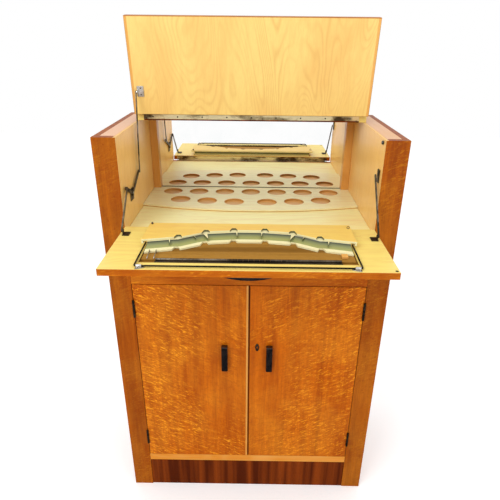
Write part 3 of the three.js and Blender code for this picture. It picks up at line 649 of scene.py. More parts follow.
def fastener_tree():
    """A domed head on every point, slotted or plain, turned by a seeded random angle."""
    labels = [("Slotted", "Bool"), ("Seed", "Int"), ("Material", "Material")]
    tree, source = start_tree("Fasteners", labels)
    ball = add(tree, "GeometryNodeMeshUVSphere", {"Segments": 18, "Rings": 10, "Radius": 1.0})
    dome = moved(tree, ball.outputs[0], scale=(1, 1, 0.42))
    slot = add(tree, "GeometryNodeMeshCube", {"Size": (0.26, 3, 0.4)}).outputs[0]
    bar = moved(tree, slot, (0, 0, 0.42))
    slotted = add(
        tree, "GeometryNodeMeshBoolean", {"Mesh 1": dome, "Mesh 2": bar}, operation="DIFFERENCE"
    )
    head = add(
        tree,
        "GeometryNodeSwitch",
        {"Switch": source["Slotted"], "False": dome, "True": slotted.outputs[0]},
        input_type="GEOMETRY",
    )
    direction = add(
        tree, "GeometryNodeInputNamedAttribute", {"Name": "direction"}, data_type="FLOAT_VECTOR"
    )
    radius = add(tree, "GeometryNodeInputNamedAttribute", {"Name": "radius"}, data_type="FLOAT")
    stand = add(
        tree, "FunctionNodeAlignRotationToVector", {"Vector": direction.outputs[0]}, axis="Z"
    )
    angle = add(
        tree,
        "FunctionNodeRandomValue",
        {2: 0.0, 3: math.pi, "Seed": source["Seed"]},
        data_type="FLOAT",
    )
    spin = add(
        tree, "FunctionNodeAxisAngleToRotation", {"Axis": (0, 0, 1), "Angle": angle.outputs[1]}
    )
    turn = add(
        tree,
        "FunctionNodeRotateRotation",
        {"Rotation": stand.outputs[0], "Rotate By": spin.outputs[0]},
        rotation_space="LOCAL",
    )
    heads = add(
        tree,
        "GeometryNodeInstanceOnPoints",
        {
            "Points": source["Geometry"],
            "Instance": head.outputs[0],
            "Rotation": turn.outputs[0],
            "Scale": radius.outputs[0],
        },
    )
    return end_tree(tree, heads.outputs[0], source["Material"])


def hinge_tree():
    """One leaf of a long hinge about the X axis: a hanging plate and every second knuckle."""
    labels = [
        ("Half length", "Float"),
        ("Plate top", "Float"),
        ("Plate bottom", "Float"),
        ("Near", "Float"),
        ("Thickness", "Float"),
        ("Knuckle radius", "Float"),
        ("Pitch", "Float"),
        ("Parity", "Int"),
        ("Material", "Material"),
        ("Knuckle material", "Material"),
    ]
    tree, source = start_tree("Long hinge leaf", labels)
    near, thick = source["Near"], source["Thickness"]
    middle = compute(tree, "ADD", near, compute(tree, "MULTIPLY", thick, 0.5))
    whole = compute(tree, "MULTIPLY", source["Half length"], 2.0)
    tall = compute(tree, "SUBTRACT", source["Plate top"], source["Plate bottom"])
    ends = compute(tree, "ADD", source["Plate top"], source["Plate bottom"])
    level = compute(tree, "MULTIPLY", ends, 0.5)
    size = vector_of(tree, whole, thick, tall)
    sheet = add(tree, "GeometryNodeMeshCube", {"Size": size}).outputs[0]
    plate = moved(tree, sheet, vector_of(tree, 0, middle, level))
    one = compute(tree, "MULTIPLY", source["Pitch"], 0.95)
    barrel = add(
        tree,
        "GeometryNodeMeshCylinder",
        {"Vertices": 14, "Radius": source["Knuckle radius"], "Depth": one},
    )
    roll = moved(tree, barrel.outputs[0], turn=(0, math.pi / 2, 0))
    web_size = vector_of(tree, one, thick, compute(tree, "MULTIPLY", source["Plate top"], -1.0))
    web_level = compute(tree, "MULTIPLY", source["Plate top"], 0.5)
    strap = add(tree, "GeometryNodeMeshCube", {"Size": web_size}).outputs[0]
    web = moved(tree, strap, vector_of(tree, 0, middle, web_level))
    knuckle = joined(tree, roll, web)
    pairs = compute(tree, "FLOOR", compute(tree, "DIVIDE", source["Half length"], source["Pitch"]))
    step = compute(tree, "MULTIPLY", source["Pitch"], 2.0)
    begin = compute(tree, "MULTIPLY", compute(tree, "ADD", source["Parity"], 0.5), source["Pitch"])
    begin = compute(tree, "SUBTRACT", begin, compute(tree, "MULTIPLY", pairs, source["Pitch"]))
    line = add(
        tree,
        "GeometryNodeMeshLine",
        {"Count": pairs, "Start Location": vector_of(tree, begin), "Offset": vector_of(tree, step)},
    )
    row = add(
        tree, "GeometryNodeInstanceOnPoints", {"Points": line.outputs[0], "Instance": knuckle}
    )
    rolled = add(
        tree,
        "GeometryNodeStoreNamedAttribute",
        {"Geometry": row.outputs[0], "Name": "rolled", "Value": 1.0},
        data_type="FLOAT",
        domain="INSTANCE",
    )
    real = add(tree, "GeometryNodeRealizeInstances", {0: joined(tree, plate, rolled.outputs[0])})
    inputs = {"Geometry": real.outputs[0], "Material": source["Material"]}
    coated = add(tree, "GeometryNodeSetMaterial", inputs)
    mark = add(tree, "GeometryNodeInputNamedAttribute", {"Name": "rolled"}, data_type="FLOAT")
    chosen = compute(tree, "GREATER_THAN", mark.outputs[0], 0.5)
    inputs = {"Geometry": coated.outputs[0], "Selection": chosen}
    inputs["Material"] = source["Knuckle material"]
    finished = add(tree, "GeometryNodeSetMaterial", inputs)
    add(tree, "NodeGroupOutput", {0: finished.outputs[0]})
    return tree


TREES = {}


def grown(name, tree_name, mesh, values, placement=None):
    """Runs a tree on a mesh and returns the plain mesh that it makes, moved to its place."""
    makers = {"fasteners": fastener_tree, "hinge": hinge_tree}
    if tree_name not in TREES:
        TREES[tree_name] = makers[tree_name]()
    seedling = new_object(name + "_seedling", mesh)
    modifier = seedling.modifiers.new("Made", "NODES")
    modifier.node_group = TREES[tree_name]
    for item in TREES[tree_name].interface.items_tree:
        if item.in_out == "INPUT" and item.name in values:
            modifier[item.identifier] = values[item.name]
    evaluated = seedling.evaluated_get(bpy.context.evaluated_depsgraph_get())
    made = bpy.data.meshes.new_from_object(evaluated)
    seedling.modifiers.remove(modifier)
    bpy.data.objects.remove(seedling)
    made.name = name
    if placement:
        made.transform(placement)
    return made


def fasteners(name, body, places, finish_name, slotted=True, seed=3):
    """Screw or rivet heads, each at a (point, direction, radius in millimetres)."""
    mesh = bpy.data.meshes.new(name + "_points")
    mesh.from_pydata([point for point, _, _ in places], [], [])
    direction = mesh.attributes.new("direction", "FLOAT_VECTOR", "POINT")
    direction.data.foreach_set("vector", [c for _, way, _ in places for c in way])
    radius = mesh.attributes.new("radius", "FLOAT", "POINT")
    radius.data.foreach_set("value", [r * MM for _, _, r in places])
    values = {"Slotted": slotted, "Seed": seed, "Material": finish(finish_name)}
    made = grown(name, "fasteners", mesh, values)
    piece = new_object(name, made)
    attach(piece, body)
    return piece


def head_row(pin, places, y, z, direction, radius):
    """Heads in a row along a hinge, at millimetres from its pin."""
    return [(pin + Vector((x, y, z)) * MM, direction, radius) for x in places]


def long_hinge_leaf(node, plate, knuckle, values, placement):
    """A finer leaf that stands for a CAD one. Its lengths are millimetres about the pin."""
    sizes = {key: value * MM for key, value in values.items() if key != "Parity"}
    sizes.update(
        {"Parity": values["Parity"], "Pitch": bpy.context.scene.cabinet_sizes.knuckle_pitch}
    )
    sizes.update({"Material": finish(plate), "Knuckle material": finish(knuckle)})
    made = grown(node + "_fine", "hinge", bpy.data.meshes.new("empty"), sizes, placement)
    piece = new_object(node + "_fine", made)
    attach(piece, body_of(node))
    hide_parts(node)
    return piece


# Operators --------------------------------------------------------------------------------------

SIDES = (("left", -1), ("right", 1))
TRAY_BOW = 48 * MM  # the ends of the tray's front edge lie this far behind its middle


class CABINET_OT_carcass(bpy.types.Operator):
    """Dresses the sides, their caps, the back and the cupboard's inside"""

    bl_idname = "cabinet.carcass"
    bl_label = "Carcass"

    def execute(self, context):
        edge = context.scene.cabinet_sizes.panel_edge
        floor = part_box("compartment_floor")[1].z
        for name, side in SIDES:
            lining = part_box("compartment_lining_" + name)
            seam = max(abs(lining[0].x), abs(lining[1].x))
            inner = min(abs(lining[0].x), abs(lining[1].x))

            def stile_face(centre, normal, side=side, inner=inner, seam=seam):
                inside = abs(centre.x) < inner + 0.0005 and centre.z > floor
                return 1 if inside or (normal.z > 0.9 and abs(centre.x) < seam) else 0

            cuts = [
                (Vector((side * seam, 0, 0)), Vector((1, 0, 0))),
                (Vector((0, 0, floor)), Vector((0, 0, 1))),
            ]
            finishes = ["upright veneer", "wall maple"]
            dressed("front_stile_" + name, finishes, edge, stile_face, cuts)
            dressed("side_panel_" + name, ["upright veneer"], edge)
            dressed("top_cap_" + name, ["cap veneer"], edge)
            dressed("cupboard_side_" + name, ["plywood"], edge)
        dressed("back_panel", ["plywood"], edge)
        dressed("cupboard_base", ["plywood"], edge)
        return {"FINISHED"}


class CABINET_OT_front(bpy.types.Operator):
    """Dresses the apron, the bottom rail and the plinth"""

    bl_idname = "cabinet.front"
    bl_label = "Front rails"

    def execute(self, context):
        edge = context.scene.cabinet_sizes.panel_edge
        dressed("apron_panel", ["cross veneer"], edge)
        dressed("bottom_rail", ["rail veneer"], edge)
        dressed("plinth", ["mahogany"], edge)
        return {"FINISHED"}


class CABINET_OT_doors(bpy.types.Operator):
    """Dresses the two doors, with the pale lipping and the closing strip where they meet"""

    bl_idname = "cabinet.doors"
    bl_label = "Doors"

    def execute(self, context):
        sizes = context.scene.cabinet_sizes
        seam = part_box("left_door")[1].x - sizes.door_lipping
        line = [(Vector((seam, 0, 0)), Vector((1, 0, 0)))]
        finishes = ["left door veneer", "door lipping"]
        dressed("left_door", finishes, sizes.panel_edge, lambda c, n: int(c.x > seam), line)
        dressed("right_door", ["right door veneer"], sizes.panel_edge)
        dressed("meeting_strip", ["mahogany"], sizes.panel_edge)
        return {"FINISHED"}


class CABINET_OT_door_fittings(bpy.types.Operator):
    """Dresses the handles, the keyhole plate and the lock, and screws the plate on"""

    bl_idname = "cabinet.door_fittings"
    bl_label = "Handles and lock"

    def execute(self, context):
        sizes = context.scene.cabinet_sizes
        for name, _ in SIDES:
            dressed(name + "_handle", ["black resin"], 2.4 * MM).modifiers[0].segments = 4
        dressed("escutcheon", ["bronze"], sizes.metal_edge)
        dressed("door_lock", ["brass"], sizes.metal_edge)
        low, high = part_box("escutcheon")
        middle = (low + high) / 2
        ends = [low.z + 3 * MM, high.z - 3 * MM]
        heads = [(Vector((middle.x, low.y, z)), (0, -1, 0), 1.3) for z in ends]
        fasteners("escutcheon_pins", "right_door", heads, "bronze")
        low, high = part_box("door_lock")
        heads = []
        for x in (low.x + 5 * MM, high.x - 5 * MM):
            heads += [
                (Vector((x, high.y, z)), (0, 1, 0), 2.2) for z in (low.z + 6 * MM, high.z - 6 * MM)
            ]
        fasteners("lock_screws", "right_door", heads, "bronze", seed=5)
        return {"FINISHED"}


class CABINET_OT_door_hinges(bpy.types.Operator):
    """Dresses the butt hinges and screws their leaves to the doors and the stiles"""

    bl_idname = "cabinet.door_hinges"
    bl_label = "Door hinges"

    def execute(self, context):
        sizes = context.scene.cabinet_sizes
        clear, sunk = 0.00015, 0.0004
        for name, side in SIDES:
            on_door, on_frame = [], []
            for level in ("upper", "lower"):
                hinge = f"{name}_{level}_hinge_"
                leaves = (("frame_leaf", on_frame, -side), ("door_leaf", on_door, side))
                for leaf, heads, way in leaves:
                    dressed(hinge + leaf, ["bronze"], sizes.metal_edge)
                    low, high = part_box(hinge + leaf)
                    face = pin_of(name + "_door_swing").x - way * clear
                    depth = low.y + 0.7 * (high.y - low.y)
                    for share in (0.16, 0.5, 0.84):
                        z = low.z + share * (high.z - low.z)
                        heads.append((Vector((face - way * sunk, depth, z)), (way, 0, 0), 2.0))
            fasteners(f"{name}_frame_screws", "cabinet", on_frame, "brass", seed=7)
            fasteners(f"{name}_door_screws", name + "_door", on_door, "brass", seed=8)
        return {"FINISHED"}


class CABINET_OT_compartment(bpy.types.Operator):
    """Dresses the drinks compartment: linings, floor, mirror and its corner strips"""

    bl_idname = "cabinet.compartment"
    bl_label = "Drinks compartment"

    def execute(self, context):
        edge = context.scene.cabinet_sizes.panel_edge
        for name, _ in SIDES:
            dressed("compartment_lining_" + name, ["wall maple"], edge)
            dressed("corner_strip_" + name, ["strip maple"], edge)
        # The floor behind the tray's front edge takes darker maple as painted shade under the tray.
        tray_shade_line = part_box("glass_tray")[0].y + TRAY_BOW
        dressed(
            "compartment_floor",
            ["floor maple", "painted shade under tray"],
            edge,
            lambda centre, normal: int(centre.y > tray_shade_line and normal.z > 0.9),
            [(Vector((0, tray_shade_line, 0)), Vector((0, 1, 0)))],
        )
        mirror = frame["nodes"]["mirror_glass"]
        mirror.data.materials.clear()
        mirror.data.materials.append(finish("silvering"))
        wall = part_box("compartment_lining_right")[0].x
        thickness = (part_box("flap_panel")[1].z - pin_of("flap_fall").z) / MM
        stop_height, stop_gap = 1162, 5.2
        place = at(wall / MM, thickness + stop_gap, stop_height)
        profile = [(0.1, 0), (4.6, 0), (4.8, 1.2), (4.6, 4.2), (3.6, 5), (0.1, 5.1)]
        stop = turned_profile("flap_stop", profile, place, (-1, 0, 0))
        added("flap_stop", stop, "black resin", "cabinet")
        return {"FINISHED"}


class CABINET_OT_glass_tray(bpy.types.Operator):
    """Dresses the tray that holds the glasses, with its hole walls, rounded edges and lower front
    edge darkened as painted shade
    """

    bl_idname = "cabinet.glass_tray"
    bl_label = "Glass tray"

    def execute(self, context):
        low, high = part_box("glass_tray")
        middle = low.z + 2.4 * MM
        slack = 2 * MM

        # Hole walls, the lower part of the front edge and the rounded edges take the dark finish:
        # painted shade in the holes and a painted shadow line under the front edge.
        def tray_face(centre, normal):
            front = low.y + TRAY_BOW * (centre.x / high.x) ** 2 + slack
            if abs(normal.z) > 0.5:
                return 0
            return 2 if centre.y < front and centre.z > middle else 1

        finishes = ["tray maple", "painted tray shade", "cream edge"]
        cuts = [(Vector((0, 0, middle)), Vector((0, 0, 1)))]
        dressed("glass_tray", finishes, 1.6 * MM, tray_face, cuts, edge_finish=1)
        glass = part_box("mirror_glass")[0].y
        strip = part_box("corner_strip_right")[0].x
        reach, depth, level = strip - 1 * MM, glass - 1 * MM, high.z + 0.9 * MM
        line = [Vector((side * reach, depth, level)) for _, side in SIDES]
        bead = bent_rod("mirror_bead", line, 0.8 * MM)
        added("mirror_bead", bead, "tray edge line", "cabinet")
        return {"FINISHED"}


class CABINET_OT_lid(bpy.types.Operator):
    """Dresses the fixed top and the lid, maple inside and veneered outside, with its lippings"""

    bl_idname = "cabinet.lid"
    bl_label = "Lid"

    def execute(self, context):
        sizes = context.scene.cabinet_sizes
        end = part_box("lid_hinge_top_leaf")[1].x

        # The front face under the hinge strip and the underside take dark mahogany as a painted
        # shadow line; the bare ends of the front face are pale maple.
        def top_face(centre, normal):
            if normal.y < -0.9 and abs(centre.x) > end:
                return 1
            return 2 if normal.y < -0.9 or normal.z < -0.9 else 0

        finishes = ["cross veneer", "flap maple", "mahogany"]
        lines = [(Vector((side * end, 0, 0)), Vector((1, 0, 0))) for _, side in SIDES]
        dressed("fixed_top", finishes, sizes.panel_edge, top_face, lines)
        pin = pin_of("lid_swing")
        angle = math.radians(JOINTS["lid_swing"]["range_deg"][1])
        reach = Matrix.Rotation(-angle, 3, "X") @ Vector((0, -1, 0))
        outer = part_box("lid_panel")[1].x
        seam = outer - sizes.lid_lipping
        lining_length = 0.2478
        border = pin + reach * lining_length

        def lid_face(centre, normal):
            if normal.y > -0.9 or (centre - border).dot(reach) > 0:
                return 0
            return 2 if abs(centre.x) > seam else 1

        cuts = [(Vector((side * seam, 0, 0)), Vector((1, 0, 0))) for _, side in SIDES]
        cuts.append((border, reach))
        finishes = ["cross veneer", "lid maple", "lipping", "lid edge"]
        dressed("lid_panel", finishes, 1.1 * MM, lid_face, cuts, edge_finish=3)
        return {"FINISHED"}


class CABINET_OT_flap(bpy.types.Operator):
    """Dresses the drop flap, pale inside and veneered outside, and its black finger pull"""

    bl_idname = "cabinet.flap"
    bl_label = "Drop flap"

    def execute(self, context):
        sizes = context.scene.cabinet_sizes
        low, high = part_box("flap_panel")
        well_half, well_depth, slack = 0.2405, 0.0056, 0.0002

        def flap_face(centre, normal):
            below = high.z - centre.z
            if slack < below < well_depth and abs(centre.x) < well_half:
                return 2
            return int(normal.z > 0.9)

        finishes = ["cross veneer", "flap maple", "well wood"]
        dressed("flap_panel", finishes, sizes.panel_edge, flap_face)
        dressed("flap_pull", ["black resin"], 1.2 * MM)
        strike = [(0.1, 0), (3.4, 0), (3.4, 0.3), (2.6, 0.5), (0.1, 0.5)]
        place = Vector((0.3135, low.y + 8 * MM, high.z))
        mesh = turned_profile("flap_strike", strike, place, (0, 0, 1))
        added("flap_strike", mesh, "bronze", "flap")
        return {"FINISHED"}


class CABINET_OT_long_hinges(bpy.types.Operator):
    """Makes the long hinges of the lid, the flap and the well board, with their screws"""

    bl_idname = "cabinet.long_hinges"
    bl_label = "Long hinges"

    def execute(self, context):
        radius = context.scene.cabinet_sizes.screw_radius / MM
        lid_pin, flap_pin, well_pin = (
            pin_of(j) for j in ("lid_swing", "flap_fall", "gallery_lift")
        )
        opened = Matrix.Rotation(-math.radians(JOINTS["lid_swing"]["range_deg"][1]), 4, "X")
        quarter = Matrix.Rotation(math.pi / 2, 4, "X")
        top = {"Half length": 306.3, "Plate top": -2.7, "Plate bottom": -16.0, "Near": 0.3}
        top.update({"Thickness": 1.0, "Knuckle radius": 2.4, "Parity": 0})
        to_lid = Matrix.Translation(lid_pin)
        long_hinge_leaf("lid_hinge_top_leaf", "brass", "brass", top, to_lid)
        lid = dict(top, Near=-1.3, Parity=1)
        long_hinge_leaf("lid_hinge_leaf", "brass", "brass", lid, to_lid @ opened)
        flap = dict(top, **{"Half length": 307.3, "Plate bottom": -14.5})
        to_flap = Matrix.Translation(flap_pin)
        fixed = dict(flap, Near=-1.3)
        long_hinge_leaf("flap_hinge_floor_leaf", "brass", "brass", fixed, to_flap @ quarter)
        moving = dict(flap, Parity=1)
        long_hinge_leaf("flap_hinge_leaf", "brass", "brass", moving, to_flap @ quarter @ quarter)
        well = {"Half length": 205.0, "Plate top": -3.3, "Plate bottom": -14.0, "Near": -3.6}
        well.update({"Thickness": 1.0, "Knuckle radius": 3.0, "Parity": 0})
        to_well = Matrix.Translation(well_pin)
        long_hinge_leaf("well_hinge_board_leaf", "worn nickel", "bronze", well, to_well @ quarter)
        front = dict(well, **{"Near": 2.1, "Parity": 1, "Plate bottom": -11.0})
        # The leaf on the flap is dark bronze, partly its own darkened metal and partly painted
        # shade in the gap in front of the knuckles.
        long_hinge_leaf(
            "well_hinge_flap_leaf", "bronze", "bronze", front, to_well @ quarter.inverted()
        )

        places, well_places = range(-280, 281, 70), range(-175, 176, 50)
        heads = head_row(lid_pin, places, 0.85, -10, (0, -1, 0), radius)
        fasteners("lid_hinge_top_screws", "cabinet", heads, "black resin")
        heads = head_row(flap_pin, places, 9.0, -1.0, (0, 0, 1), radius)
        fasteners("floor_hinge_screws", "cabinet", heads, "dark steel", seed=4)
        heads = head_row(well_pin, well_places, 9.2, -2.6, (0, 0, 1), 1.7)
        fasteners("well_hinge_screws", "gallery", heads, "dark steel", seed=6)
        return {"FINISHED"}


class CABINET_OT_gallery(bpy.types.Operator):
    """Dresses the scalloped gallery, its hollow green front and the board that carries it"""

    bl_idname = "cabinet.gallery"
    bl_label = "Gallery"

    def execute(self, context):
        dressed("well_board", ["well wood"], 0.5 * MM)
        notch_middles, notch_half = (38, 105, 167), 8.9

        # The notch walls take the dark enamel as painted shade inside the notches.
        def board_face(centre, normal):
            if abs(normal.z) > 0.5:
                return 0
            across = abs(centre.x) / MM
            notched = any(abs(across - middle) < notch_half for middle in notch_middles)
            return 2 if notched else 1

        finishes = ["gallery maple", "cream edge", "notch shade enamel"]
        dressed("gallery_top", finishes, 0.9 * MM, board_face)
        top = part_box("flap_panel")[1].z
        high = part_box("gallery_top")[1]
        inner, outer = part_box("bail")[1].x + 1.2 * MM, high.x - 0.3 * MM
        points = [vertex.co for vertex in frame["nodes"]["gallery_top"].data.vertices]
        front = min(point.y for point in points if point.x > high.x - MM)
        for name, side in SIDES:
            near = Vector((side * inner, front + 0.3 * MM, top + 7.5 * MM))
            far = Vector((side * outer, front + 14 * MM, high.z - 5.1 * MM))
            mesh = block("gallery_cheek_" + name, near, far)
            added("gallery_cheek_" + name, mesh, "cream edge", "gallery", 0.6 * MM)
        low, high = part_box("gallery_cove")
        foot, brow = low.z + 4.6 * MM, high.z - 0.4 * MM

        def cove_face(centre, normal):
            return int(centre.z < foot or centre.z > brow)

        cuts = [(Vector((0, 0, level)), Vector((0, 0, 1))) for level in (foot, brow)]
        dressed("gallery_cove", ["green enamel", "cream edge"], 0.5 * MM, cove_face, cuts)
        pin = pin_of("gallery_lift")
        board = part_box("well_board")[1].z
        foot, level = board + 0.4 * MM, top + 1.5 * MM
        near, far = pin.y + 5 * MM, pin.y + 36 * MM
        for index, x in enumerate((-0.2235, -0.2085)):
            hook = [
                Vector((x, far, foot)),
                Vector((x, far, level + 6 * MM)),
                Vector((x, near, level)),
                Vector((x, near, foot)),
            ]
            name = f"well_hook_{index + 1}"
            added(name, bent_rod(name, hook, 1.1 * MM), "plate", "gallery")
        middle, half = Vector(
            (0.2145, pin.y + 0.025, foot + 0.0028)
        ), Vector((0.007, 0.008, 0.0025))
        mesh = block("well_block", middle - half, middle + half)
        added("well_block", mesh, "lipping", "gallery", 0.6 * MM)
        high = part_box("gallery_top")[1]
        middle, size = Vector((0.243, high.y - 24 * MM, high.z + 3 * MM)), 3 * MM
        ring = [middle + size * Vector((cosine, 0, sine)) for cosine, sine in around(16)]
        eyelet = bent_rod("gallery_eyelet", ring, 0.8 * MM, closed=True)
        added("gallery_eyelet", eyelet, "bronze", "gallery")
        peg = [(0.1, 0), (2.6, 0), (2.8, 2.4), (2.0, 4.2), (0.1, 4.6)]
        place = Vector((-0.243, high.y - 8 * MM, high.z + 0.1 * MM))
        mesh = turned_profile("gallery_peg", peg, place, (0, 0, 1))
        added("gallery_peg", mesh, "bronze", "gallery")
        return {"FINISHED"}


class CABINET_OT_bail(bpy.types.Operator):
    """Makes the bail that lifts the gallery, its knobs, and its brackets with caps and screws"""

    bl_idname = "cabinet.bail"
    bl_label = "Bail"

    def execute(self, context):
        sizes = context.scene.cabinet_sizes
        pin, top = pin_of("bail_swing"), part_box("flap_panel")[1].z
        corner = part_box("bail")[1]
        half, back, lift = corner.x - 1.7 * MM, corner.y - 3 * MM, 5 * MM
        arms = []
        for _, side in SIDES:
            arm = []
            for share in (0, 0.5, 1):
                depth = back + (pin.y - back) * share
                arm.append(Vector((side * half, depth, top + (5 - share) * MM)))
            arm[-1] += Vector((0, 4 * MM, 0))
            arm.append(Vector((side * (half - 1.2 * MM), pin.y + 1.2 * MM, pin.z)))
            arm.append(Vector((side * (half - 4 * MM), pin.y, pin.z)))
            arms.append(arm)
        line = arms[0] + arms[1][::-1]
        rod = bent_rod("bail_rod", line, 1.9 * MM)
        bail = added("bail_rod", rod, "dark steel", "bail")
        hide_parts("bail")
        knob = [(0.2, -2.4), (2.4, -2.2), (3.0, -1.4), (3.0, 0), (2.2, 0.6), (0.2, 0.9)]
        cap = [(1.9, -2), (3.2, -2), (3.6, -1), (3.6, 9), (3.2, 10), (1.9, 10)]
        plan = [(0, -9), (0, 9), (9, 8), (19, 2.4), (20, 0), (19, -2.4), (9, -8)]
        screws = [(6, 6.2), (6, -6.2), (15.5, 0)]
        for name, side in SIDES:
            low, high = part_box("bail_bracket_" + name)
            outer = max(abs(low.x), abs(high.x))

            def on_bracket(x, y, level, side=side, outer=outer):
                """A point at millimetres inwards, behind the pin and above the flap."""
                return Vector((side * (outer - x * MM), pin.y + y * MM, top + level * MM))

            rings = [[on_bracket(x, y, level) for x, y in plan] for level in (0.3, 1.7)]
            mesh = skin("bail_plate_" + name, rings)
            plate = added(
                "bail_plate_" + name, mesh, "plate", "flap", sizes.metal_edge
            )
            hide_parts("bail_bracket_" + name)
            end = Vector((side * (outer - 3 * MM), pin.y, pin.z))
            mesh = turned_profile("bail_cap_" + name, cap, end, (-side, 0, 0))
            added("bail_cap_" + name, mesh, "plate", "flap")
            heads = [(on_bracket(x, y, 1.6), (0, 0, 1), 1.5) for x, y in screws]
            fasteners(f"bail_{name}_screws", "flap", heads, "bronze", seed=9)
            end = Vector((side * half, back, top + lift))
            mesh = turned_profile(f"bail_knob_{name}", knob, end, (-side, 0, 0))
            added(f"bail_knob_{name}", mesh, "plate", "bail")
        return {"FINISHED"}


class CABINET_OT_linkage(bpy.types.Operator):
    """Dresses the linkage between lid and flap and the sliding stay, and rivets them"""

    bl_idname = "cabinet.linkage"
    bl_label = "Linkage"

    def execute(self, context):
        sizes = context.scene.cabinet_sizes
        radius = sizes.rivet_radius / MM
        flat = ["crank_bracket", "stay_bracket", "bell_crank", "lid_rod", "flap_arm", "stay_bar"]
        for node in flat + ["flap_bracket_left", "flap_bracket_right"]:
            dressed(node, ["bronze"], sizes.metal_edge)
        dressed("lid_bracket", ["plate"], sizes.metal_edge)
        opened = Matrix.Rotation(-math.radians(JOINTS["lid_swing"]["range_deg"][1]), 3, "X")
        reach, outward = opened @ Vector((0, -1, 0)), opened @ Vector((0, 0, -1))
        middle = pin_of("lid_swing") + Vector((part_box("lid_bracket")[1].x - 8 * MM, 0, 0))
        face = outward * 22.2 * MM
        heads = [(middle + reach * place * MM + face, outward, 2.0) for place in (55.5, 72.5)]
        fasteners("lid_bracket_screws", "lid", heads, "bronze", seed=12)
        inward = Vector((1, 0, 0))
        arm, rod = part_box("flap_arm")[1].x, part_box("lid_rod")[1].x
        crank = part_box("bell_crank")[1].x
        pivots = {
            "crank": (crank, pin_of("crank_turn"), "crank"),
            "lid": (rod, pin_of("lid_rod_pivot"), "lid_rod"),
            "flap": (arm, pin_of("flap_arm_pivot"), "flap_arm"),
        }
        for name, (x, pin, body) in pivots.items():
            place = Vector((x, pin.y, pin.z))
            fasteners(
                f"{name}_rivet", body, [(place, inward, radius)], "plate", False
            )
        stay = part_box("stay_bar")[0].x
        pin = pin_of("stay_pivot")
        place = Vector((stay, pin.y, pin.z))
        fasteners("stay_rivet", "stay", [(place, -inward, radius)], "plate", False)
        return {"FINISHED"}


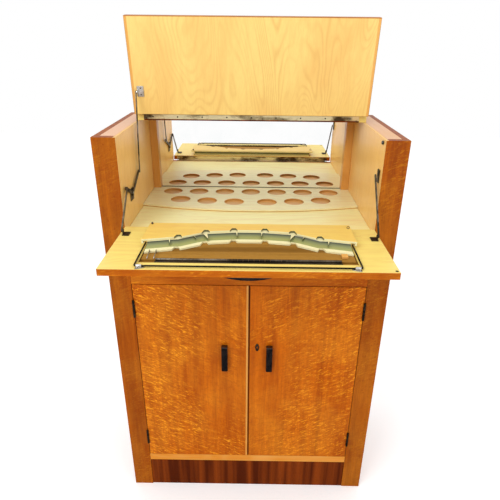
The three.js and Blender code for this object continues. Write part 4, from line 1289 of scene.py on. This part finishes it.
class CABINET_OT_stage(bpy.types.Operator):
    """Sets the pale floor, the soft lights and the camera"""

    bl_idname = "cabinet.stage"
    bl_label = "Stage"

    horizon: bpy.props.FloatProperty(
        name="Horizon", description="Brightness of the soft light from the side", default=0.5, min=0
    )
    zenith: bpy.props.FloatProperty(
        name="Zenith", description="Brightness of the soft light from above", default=1.2, min=0
    )

    def execute(self, context):
        scene = context.scene
        scene.view_settings.view_transform = "Standard"
        floor = bpy.data.meshes.new("studio_floor")
        half = 6.0
        corners = [(-half, -half, 0), (half, -half, 0), (half, half, 0), (-half, half, 0)]
        floor.from_pydata(corners, [], [(0, 1, 2, 3)])
        floor.materials.append(finish("floor"))
        ground = new_object("studio_floor", floor)
        ground.visible_glossy = False

        world = scene.world or bpy.data.worlds.new("Studio")
        scene.world = world
        world.use_nodes = True
        tree = world.node_tree
        way = add(tree, "ShaderNodeTexCoord").outputs["Generated"]
        height = add(tree, "ShaderNodeSeparateXYZ", {0: way}).outputs[2]
        above = scaled(tree, height, 0, 1, self.horizon, self.zenith)
        below = scaled(tree, height, -0.36, -0.3, 0.03, 1.0)
        upper = compute(tree, "GREATER_THAN", height, 0.0)
        lower = compute(tree, "SUBTRACT", 1.0, upper)
        glow = compute(tree, "MULTIPLY_ADD", upper, above, compute(tree, "MULTIPLY", lower, below))
        seen = add(tree, "ShaderNodeLightPath").outputs["Is Camera Ray"]
        strength = compute(tree, "MAXIMUM", glow, seen)
        background = tree.nodes["Background"]
        background.inputs["Color"].default_value = (1.0, 1.0, 1.0, 1.0)
        tree.links.new(strength, background.inputs["Strength"])

        target = Vector((0, -0.1, 0.75))
        for name, place, size, energy in (
            ("Key", (-1.5, -2.1, 2.7), 1.4, 33),
            ("Fill", (1.9, -2.0, 1.7), 2.0, 7),
        ):
            data = bpy.data.lights.new(name, "AREA")
            data.size = size
            data.energy = energy
            lamp = bpy.data.objects.new(name, data)
            scene.collection.objects.link(lamp)
            lamp.location = place
            aim = target - Vector(place)
            lamp.rotation_euler = aim.to_track_quat("-Z", "Y").to_euler()

        eye, lens, angles = (0.00926, -1.18482, 1.39062), 33.37, (24.70, -0.394, 0.589)
        data = bpy.data.cameras.new("Camera")
        data.lens = lens
        camera = bpy.data.objects.new("Camera", data)
        scene.collection.objects.link(camera)
        pitch, yaw, roll = (math.radians(angle) for angle in angles)
        ahead = Vector(
            (math.sin(yaw) * math.cos(pitch), math.cos(yaw) * math.cos(pitch), -math.sin(pitch))
        )
        right = Vector((math.cos(yaw), -math.sin(yaw), 0))
        up = right.cross(ahead)
        across = right * math.cos(roll) + up * math.sin(roll)
        upward = up * math.cos(roll) - right * math.sin(roll)
        turn = Matrix((across, upward, -ahead)).transposed().to_4x4()
        camera.matrix_world = Matrix.Translation(eye) @ turn
        scene.camera = camera
        return {"FINISHED"}


OPERATORS = (
    CABINET_OT_carcass,
    CABINET_OT_front,
    CABINET_OT_doors,
    CABINET_OT_door_fittings,
    CABINET_OT_door_hinges,
    CABINET_OT_compartment,
    CABINET_OT_glass_tray,
    CABINET_OT_lid,
    CABINET_OT_flap,
    CABINET_OT_long_hinges,
    CABINET_OT_gallery,
    CABINET_OT_bail,
    CABINET_OT_linkage,
    CABINET_OT_stage,
)


class CABINET_PT_panel(bpy.types.Panel):
    """Lists the cabinet's sizes, colours and operators"""

    bl_idname = "CABINET_PT_panel"
    bl_label = "Cocktail Cabinet"
    bl_space_type = "VIEW_3D"
    bl_region_type = "UI"
    bl_category = "Cabinet"

    def draw(self, context):
        layout = self.layout
        for group in (context.scene.cabinet_sizes, context.scene.cabinet_colours):
            box = layout.box()
            for key in group.bl_rna.properties.keys():
                if key not in ("rna_type", "name"):
                    box.prop(group, key)
        column = layout.column(align=True)
        for operator in OPERATORS:
            column.operator(operator.bl_idname)


CLASSES = (CabinetColours, CabinetSizes, *OPERATORS, CABINET_PT_panel)


def register():
    for cls in CLASSES:
        bpy.utils.register_class(cls)
    bpy.types.Scene.cabinet_colours = bpy.props.PointerProperty(type=CabinetColours)
    bpy.types.Scene.cabinet_sizes = bpy.props.PointerProperty(type=CabinetSizes)


def unregister():
    del bpy.types.Scene.cabinet_sizes
    del bpy.types.Scene.cabinet_colours
    for cls in reversed(CLASSES):
        bpy.utils.unregister_class(cls)


def main():
    register()
    for operator in OPERATORS:
        group, name = operator.bl_idname.split(".")
        getattr(getattr(bpy.ops, group), name)()


if __name__ == "__main__":
    main()
